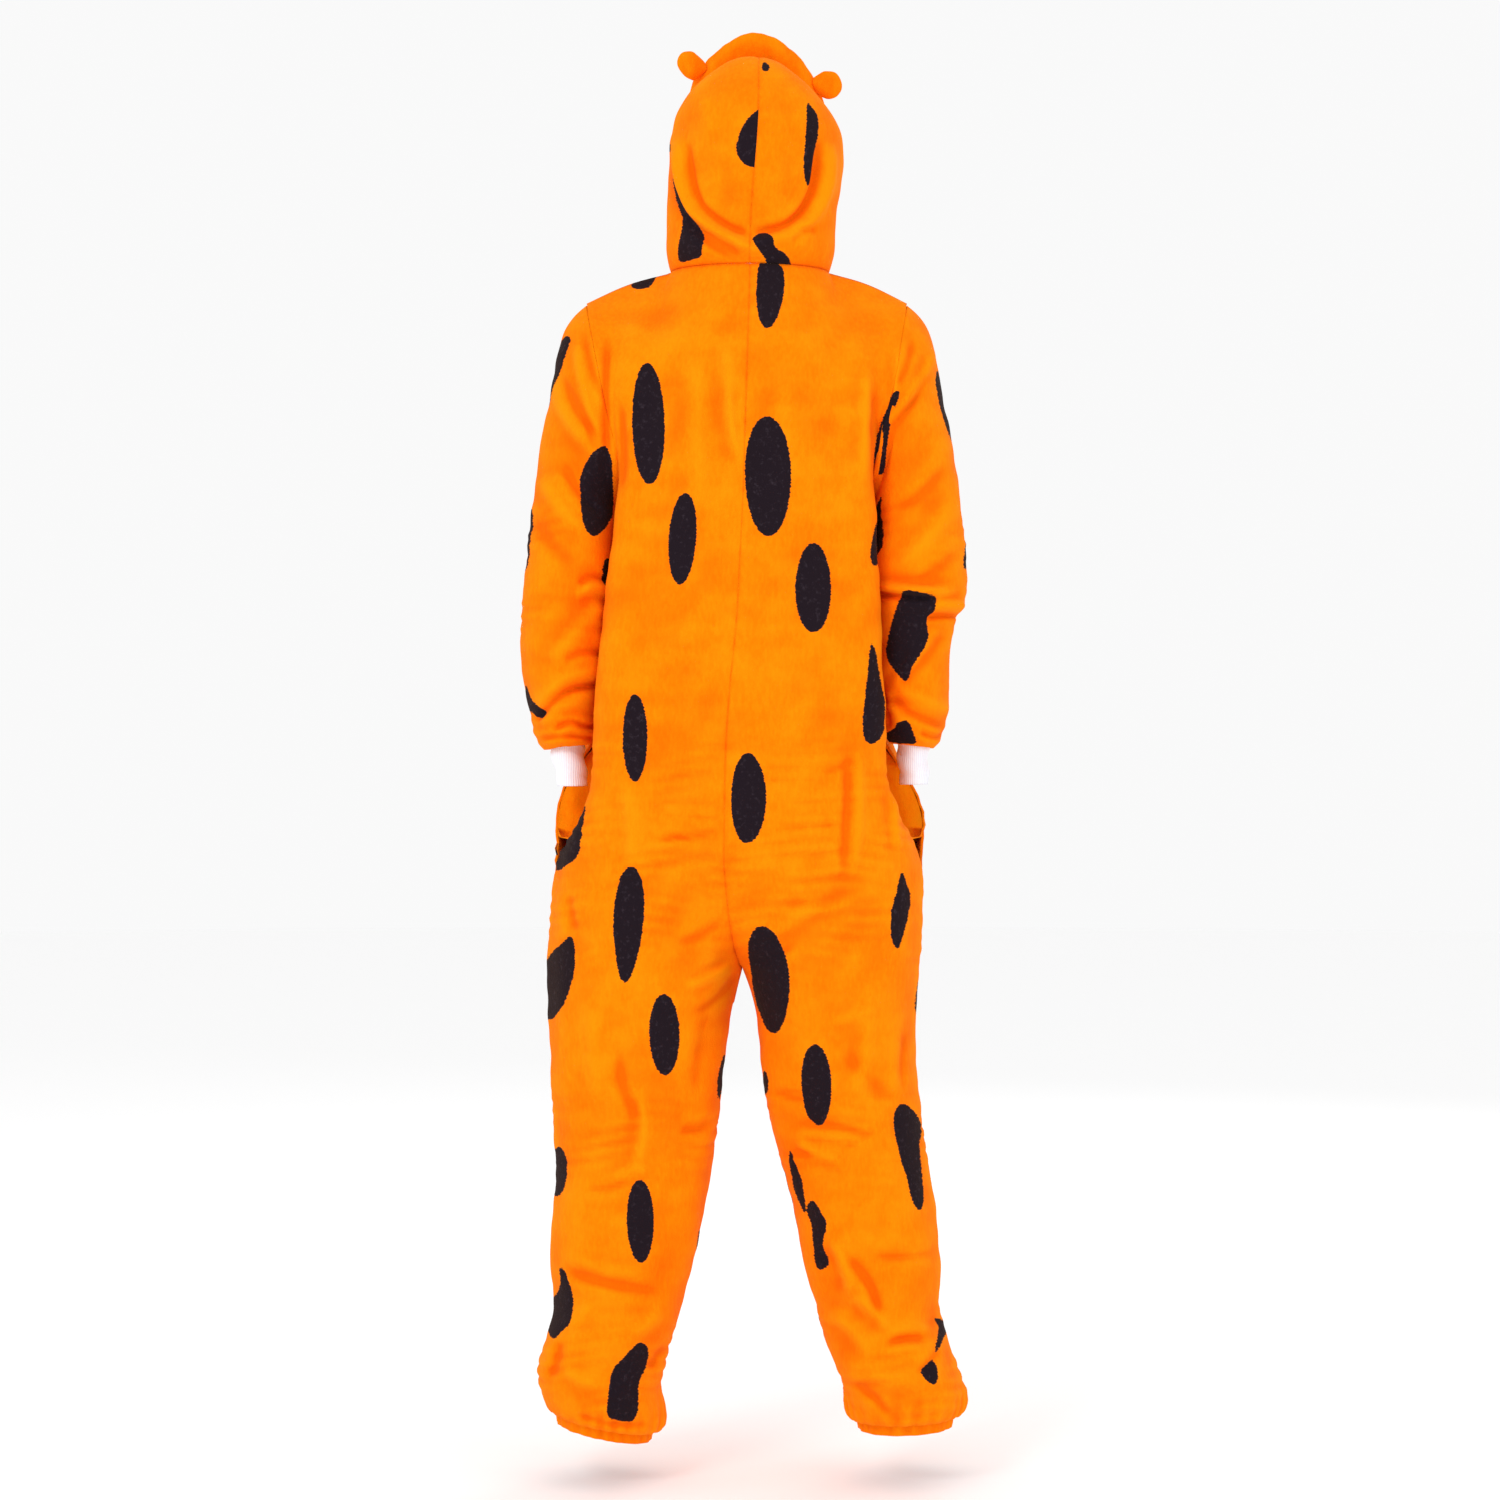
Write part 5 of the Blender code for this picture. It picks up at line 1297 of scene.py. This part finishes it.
def stitch_rows(tree, low, high):
    """Two rows of stitches down the placket, each stitch a short capsule of thread lying on the cloth."""
    buttons = bpy.context.scene.onesie_buttons
    bm = bmesh.new()
    pitch = 1.35 * buttons.stitch
    for x in (-0.0150, 0.0150):
        z = low[2] + 0.006
        while z < high[2] - 0.006:
            spot, normal, _, _ = tree.ray_cast(Vector((x, -0.5, z)), Vector((0, 1, 0)))
            if spot is not None:
                place = Matrix.Translation(spot + normal.normalized() * 0.15 * MM)
                turn = normal.to_track_quat("Y", "Z").to_matrix().to_4x4()
                size = Matrix.Diagonal((0.32 * MM, 0.30 * MM, 0.5 * buttons.stitch, 1.0))
                bmesh.ops.create_uvsphere(bm, u_segments=6, v_segments=4, radius=1.0, matrix=place @ turn @ size)
            z += pitch
    piece = object_of("placket_stitches", bm, material_named("polyester_thread", polyester_thread))
    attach(piece, "root")


def object_of(name, bm, material):
    """A smooth-shaded object of the bmesh."""
    mesh = bpy.data.meshes.new(name)
    bm.to_mesh(mesh)
    bm.free()
    mesh.materials.append(material)
    for polygon in mesh.polygons:
        polygon.use_smooth = True
    obj = bpy.data.objects.new(name, mesh)
    bpy.context.scene.collection.objects.link(obj)
    return obj


class ONESIE_OT_buttons(bpy.types.Operator):
    """Five sewn buttons with four holes each"""

    bl_idname = "onesie.buttons"
    bl_label = "Buttons"

    def execute(self, context):
        buttons = context.scene.onesie_buttons
        resin = material_named("button_resin", button_resin)
        thread = material_named("polyester_thread", polyester_thread)
        for number in range(1, 6):
            node = f"button_{number}"
            centre, turn, radius, thickness = button_place(node)
            body = turned_button(node, radius, thickness, buttons, resin)
            sewing = button_thread(node, thickness, buttons, thread)
            for piece in (body, sewing):
                piece.data.transform(Matrix.Translation(centre) @ turn)
            stand_for(body, node)
            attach(sewing, "root")
        return {"FINISHED"}


def button_place(node):
    """The middle, turn, radius and thickness of a button's solid. Its own axis is the one it is thinnest along."""
    points = vertex_array(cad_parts[node].data)
    centre = points.mean(axis=0)
    _, _, axes = np.linalg.svd(points - centre, full_matrices=False)
    normal = Vector(axes[2])
    if normal.y > 0:
        normal = -normal
    offsets = (points - centre) @ np.array(normal)
    flat = (points - centre) - offsets[:, None] * np.array(normal)
    turn = normal.to_track_quat("Z", "Y").to_matrix().to_4x4()
    return Vector(centre), turn, np.linalg.norm(flat, axis=1).max(), offsets.max() - offsets.min()


def turned_button(node, radius, thickness, buttons, material):
    """A button turned from a profile, with a raised rim, a dished middle and four sewing holes."""
    half = 0.5 * thickness
    profile = (
        (0.0, -half), (0.72 * radius, -half), (0.93 * radius, -0.6 * half), (radius, 0.1 * half),
        (0.96 * radius, 0.8 * half), (0.86 * radius, half), (0.74 * radius, 0.72 * half),
        (0.62 * radius, 0.42 * half), (0.30 * radius, 0.36 * half), (0.0, 0.36 * half),
    )
    bm = bmesh.new()
    line = [bm.verts.new((r, 0.0, z)) for r, z in profile]
    edges = [bm.edges.new(pair) for pair in zip(line, line[1:])]
    bmesh.ops.spin(
        bm, geom=[*line, *edges], cent=(0, 0, 0), axis=(0, 0, 1), angle=2 * math.pi, steps=40, use_merge=True
    )
    bmesh.ops.remove_doubles(bm, verts=bm.verts, dist=0.01 * MM)
    bmesh.ops.recalc_face_normals(bm, faces=bm.faces)
    body = object_of("resin_" + node, bm, material)
    cutters = bmesh.new()
    for k in range(4):
        place = Matrix.Rotation(math.radians(45 + 90 * k), 4, "Z") @ Matrix.Translation((buttons.hole_spread, 0, 0))
        bmesh.ops.create_cone(
            cutters, cap_ends=True, segments=14, radius1=buttons.hole_radius, radius2=buttons.hole_radius,
            depth=3 * thickness, matrix=place,
        )
    cutter = object_of("hole_cutter", cutters, material)
    modifier = body.modifiers.new("Holes", "BOOLEAN")
    modifier.operation, modifier.solver, modifier.object = "DIFFERENCE", "EXACT", cutter
    apply_modifiers(body)
    bpy.data.objects.remove(cutter, do_unlink=True)
    return body


def button_thread(node, thickness, buttons, material):
    """Two pairs of thread loops across the holes, bowed over the button's middle."""
    bm = bmesh.new()
    reach = 1.5 * buttons.hole_spread
    for k, lift in ((0, 0.42), (1, 0.34), (2, 0.42), (3, 0.34)):
        angle = math.radians(45 + 90 * (k % 2))
        shift = (0.32 if k < 2 else -0.32) * MM
        for step in range(9):
            share = step / 8
            along = (2 * share - 1) * 0.5 * reach
            rise = thickness * (lift + 0.16 * math.sin(math.pi * share)) - 0.2 * MM * (k % 2)
            place = Matrix.Rotation(angle, 4, "Z") @ Matrix.Translation((along, shift, rise * 0.5))
            size = Matrix.Diagonal((0.13 * reach, 0.32 * MM, 0.30 * MM, 1.0))
            bmesh.ops.create_uvsphere(bm, u_segments=6, v_segments=4, radius=1.0, matrix=place @ size)
    return object_of("thread_" + node, bm, material)


class ONESIE_OT_stage(bpy.types.Operator):
    """Plain pale floor, soft studio light and the camera behind the garment"""

    bl_idname = "onesie.stage"
    bl_label = "Stage"

    def execute(self, context):
        stage = context.scene.onesie_stage
        bm = bmesh.new()
        bmesh.ops.create_circle(bm, cap_ends=True, segments=96, radius=14.0)
        floor = object_of("floor", bm, paper_floor())
        floor.data.transform(Matrix.Translation((0, 0, stage.floor_height)))
        world = context.scene.world or bpy.data.worlds.new("Studio")
        context.scene.world = world
        world.use_nodes = True
        context.scene.view_settings.view_transform = "Standard"
        background = world.node_tree.nodes["Background"]
        background.inputs["Color"].default_value = (*linear("FFFFFF"), 1)
        background.inputs["Strength"].default_value = 0.95
        aim = Vector((0, 0, stage.floor_height + stage.height))
        for name, place, size, power in (
            ("key_light", (1.7, 3.2, 1.5), 1.2, 42), ("fill_light", (-2.6, 2.6, 0.6), 2.0, 12),
            ("front_light", (-1.6, -3.6, 1.4), 2.0, 26),
        ):
            data = bpy.data.lights.new(name, "AREA")
            data.energy, data.size = power, size
            light = bpy.data.objects.new(name, data)
            context.scene.collection.objects.link(light)
            light.location = place
            light.rotation_euler = (Vector(place) - aim).to_track_quat("Z", "Y").to_euler()
        data = bpy.data.cameras.new("camera")
        data.sensor_width = 36.0
        data.lens = data.sensor_width * stage.distance / stage.view_width
        camera = bpy.data.objects.new("camera", data)
        context.scene.collection.objects.link(camera)
        camera.location = (0, stage.distance, aim.z)
        camera.rotation_euler = (math.pi / 2, 0, math.pi)
        context.scene.camera = camera
        return {"FINISHED"}


def paper_floor():
    """Matt background paper, with the faint tooth of its fibres."""
    material, tree, shader, coords = new_material("background_paper")
    tooth = add_node(tree, "TexNoise", {"Vector": coords, "Scale": 1 / 0.004, "Detail": 2.0})
    colour = add_node(
        tree, "Mix",
        {"Factor": tooth.outputs["Fac"], 6: (*bpy.context.scene.onesie_stage.floor, 1), 7: (*linear("FDFDFD"), 1)},
        data_type="RGBA",
    )
    tree.links.new(colour.outputs[2], shader.inputs["Base Color"])
    shader.inputs["Roughness"].default_value = 0.9
    return material


class ONESIE_PT_sidebar(bpy.types.Panel):
    """Lists the steps and the values of the onesie"""

    bl_label = "Spotted fleece onesie"
    bl_idname = "ONESIE_PT_sidebar"
    bl_space_type = "VIEW_3D"
    bl_region_type = "UI"
    bl_category = "Onesie"

    def draw(self, context):
        for operator in OPERATORS:
            self.layout.operator(operator.bl_idname)
        for name in SETTINGS:
            group = getattr(context.scene, name)
            box = self.layout.box()
            for key in group.__annotations__:
                box.prop(group, key)


SETTINGS = {"onesie_cloth": ClothSettings, "onesie_buttons": ButtonSettings, "onesie_stage": StageSettings}
OPERATORS = (
    ONESIE_OT_stage,
    ONESIE_OT_panels,
    ONESIE_OT_sleeves,
    ONESIE_OT_hood,
    ONESIE_OT_cuffs,
    ONESIE_OT_hems,
    ONESIE_OT_padding,
    ONESIE_OT_pockets,
    ONESIE_OT_placket,
    ONESIE_OT_buttons,
)


def register():
    for group in SETTINGS.values():
        bpy.utils.register_class(group)
    for operator in OPERATORS:
        bpy.utils.register_class(operator)
    bpy.utils.register_class(ONESIE_PT_sidebar)
    for name, group in SETTINGS.items():
        setattr(bpy.types.Scene, name, bpy.props.PointerProperty(type=group))


def unregister():
    for name in SETTINGS:
        delattr(bpy.types.Scene, name)
    for known in (ONESIE_PT_sidebar, *OPERATORS, *SETTINGS.values()):
        bpy.utils.unregister_class(known)


def main():
    register()
    for operator in OPERATORS:
        group, name = operator.bl_idname.split(".")
        getattr(getattr(bpy.ops, group), name)()


if __name__ == "__main__":
    main()
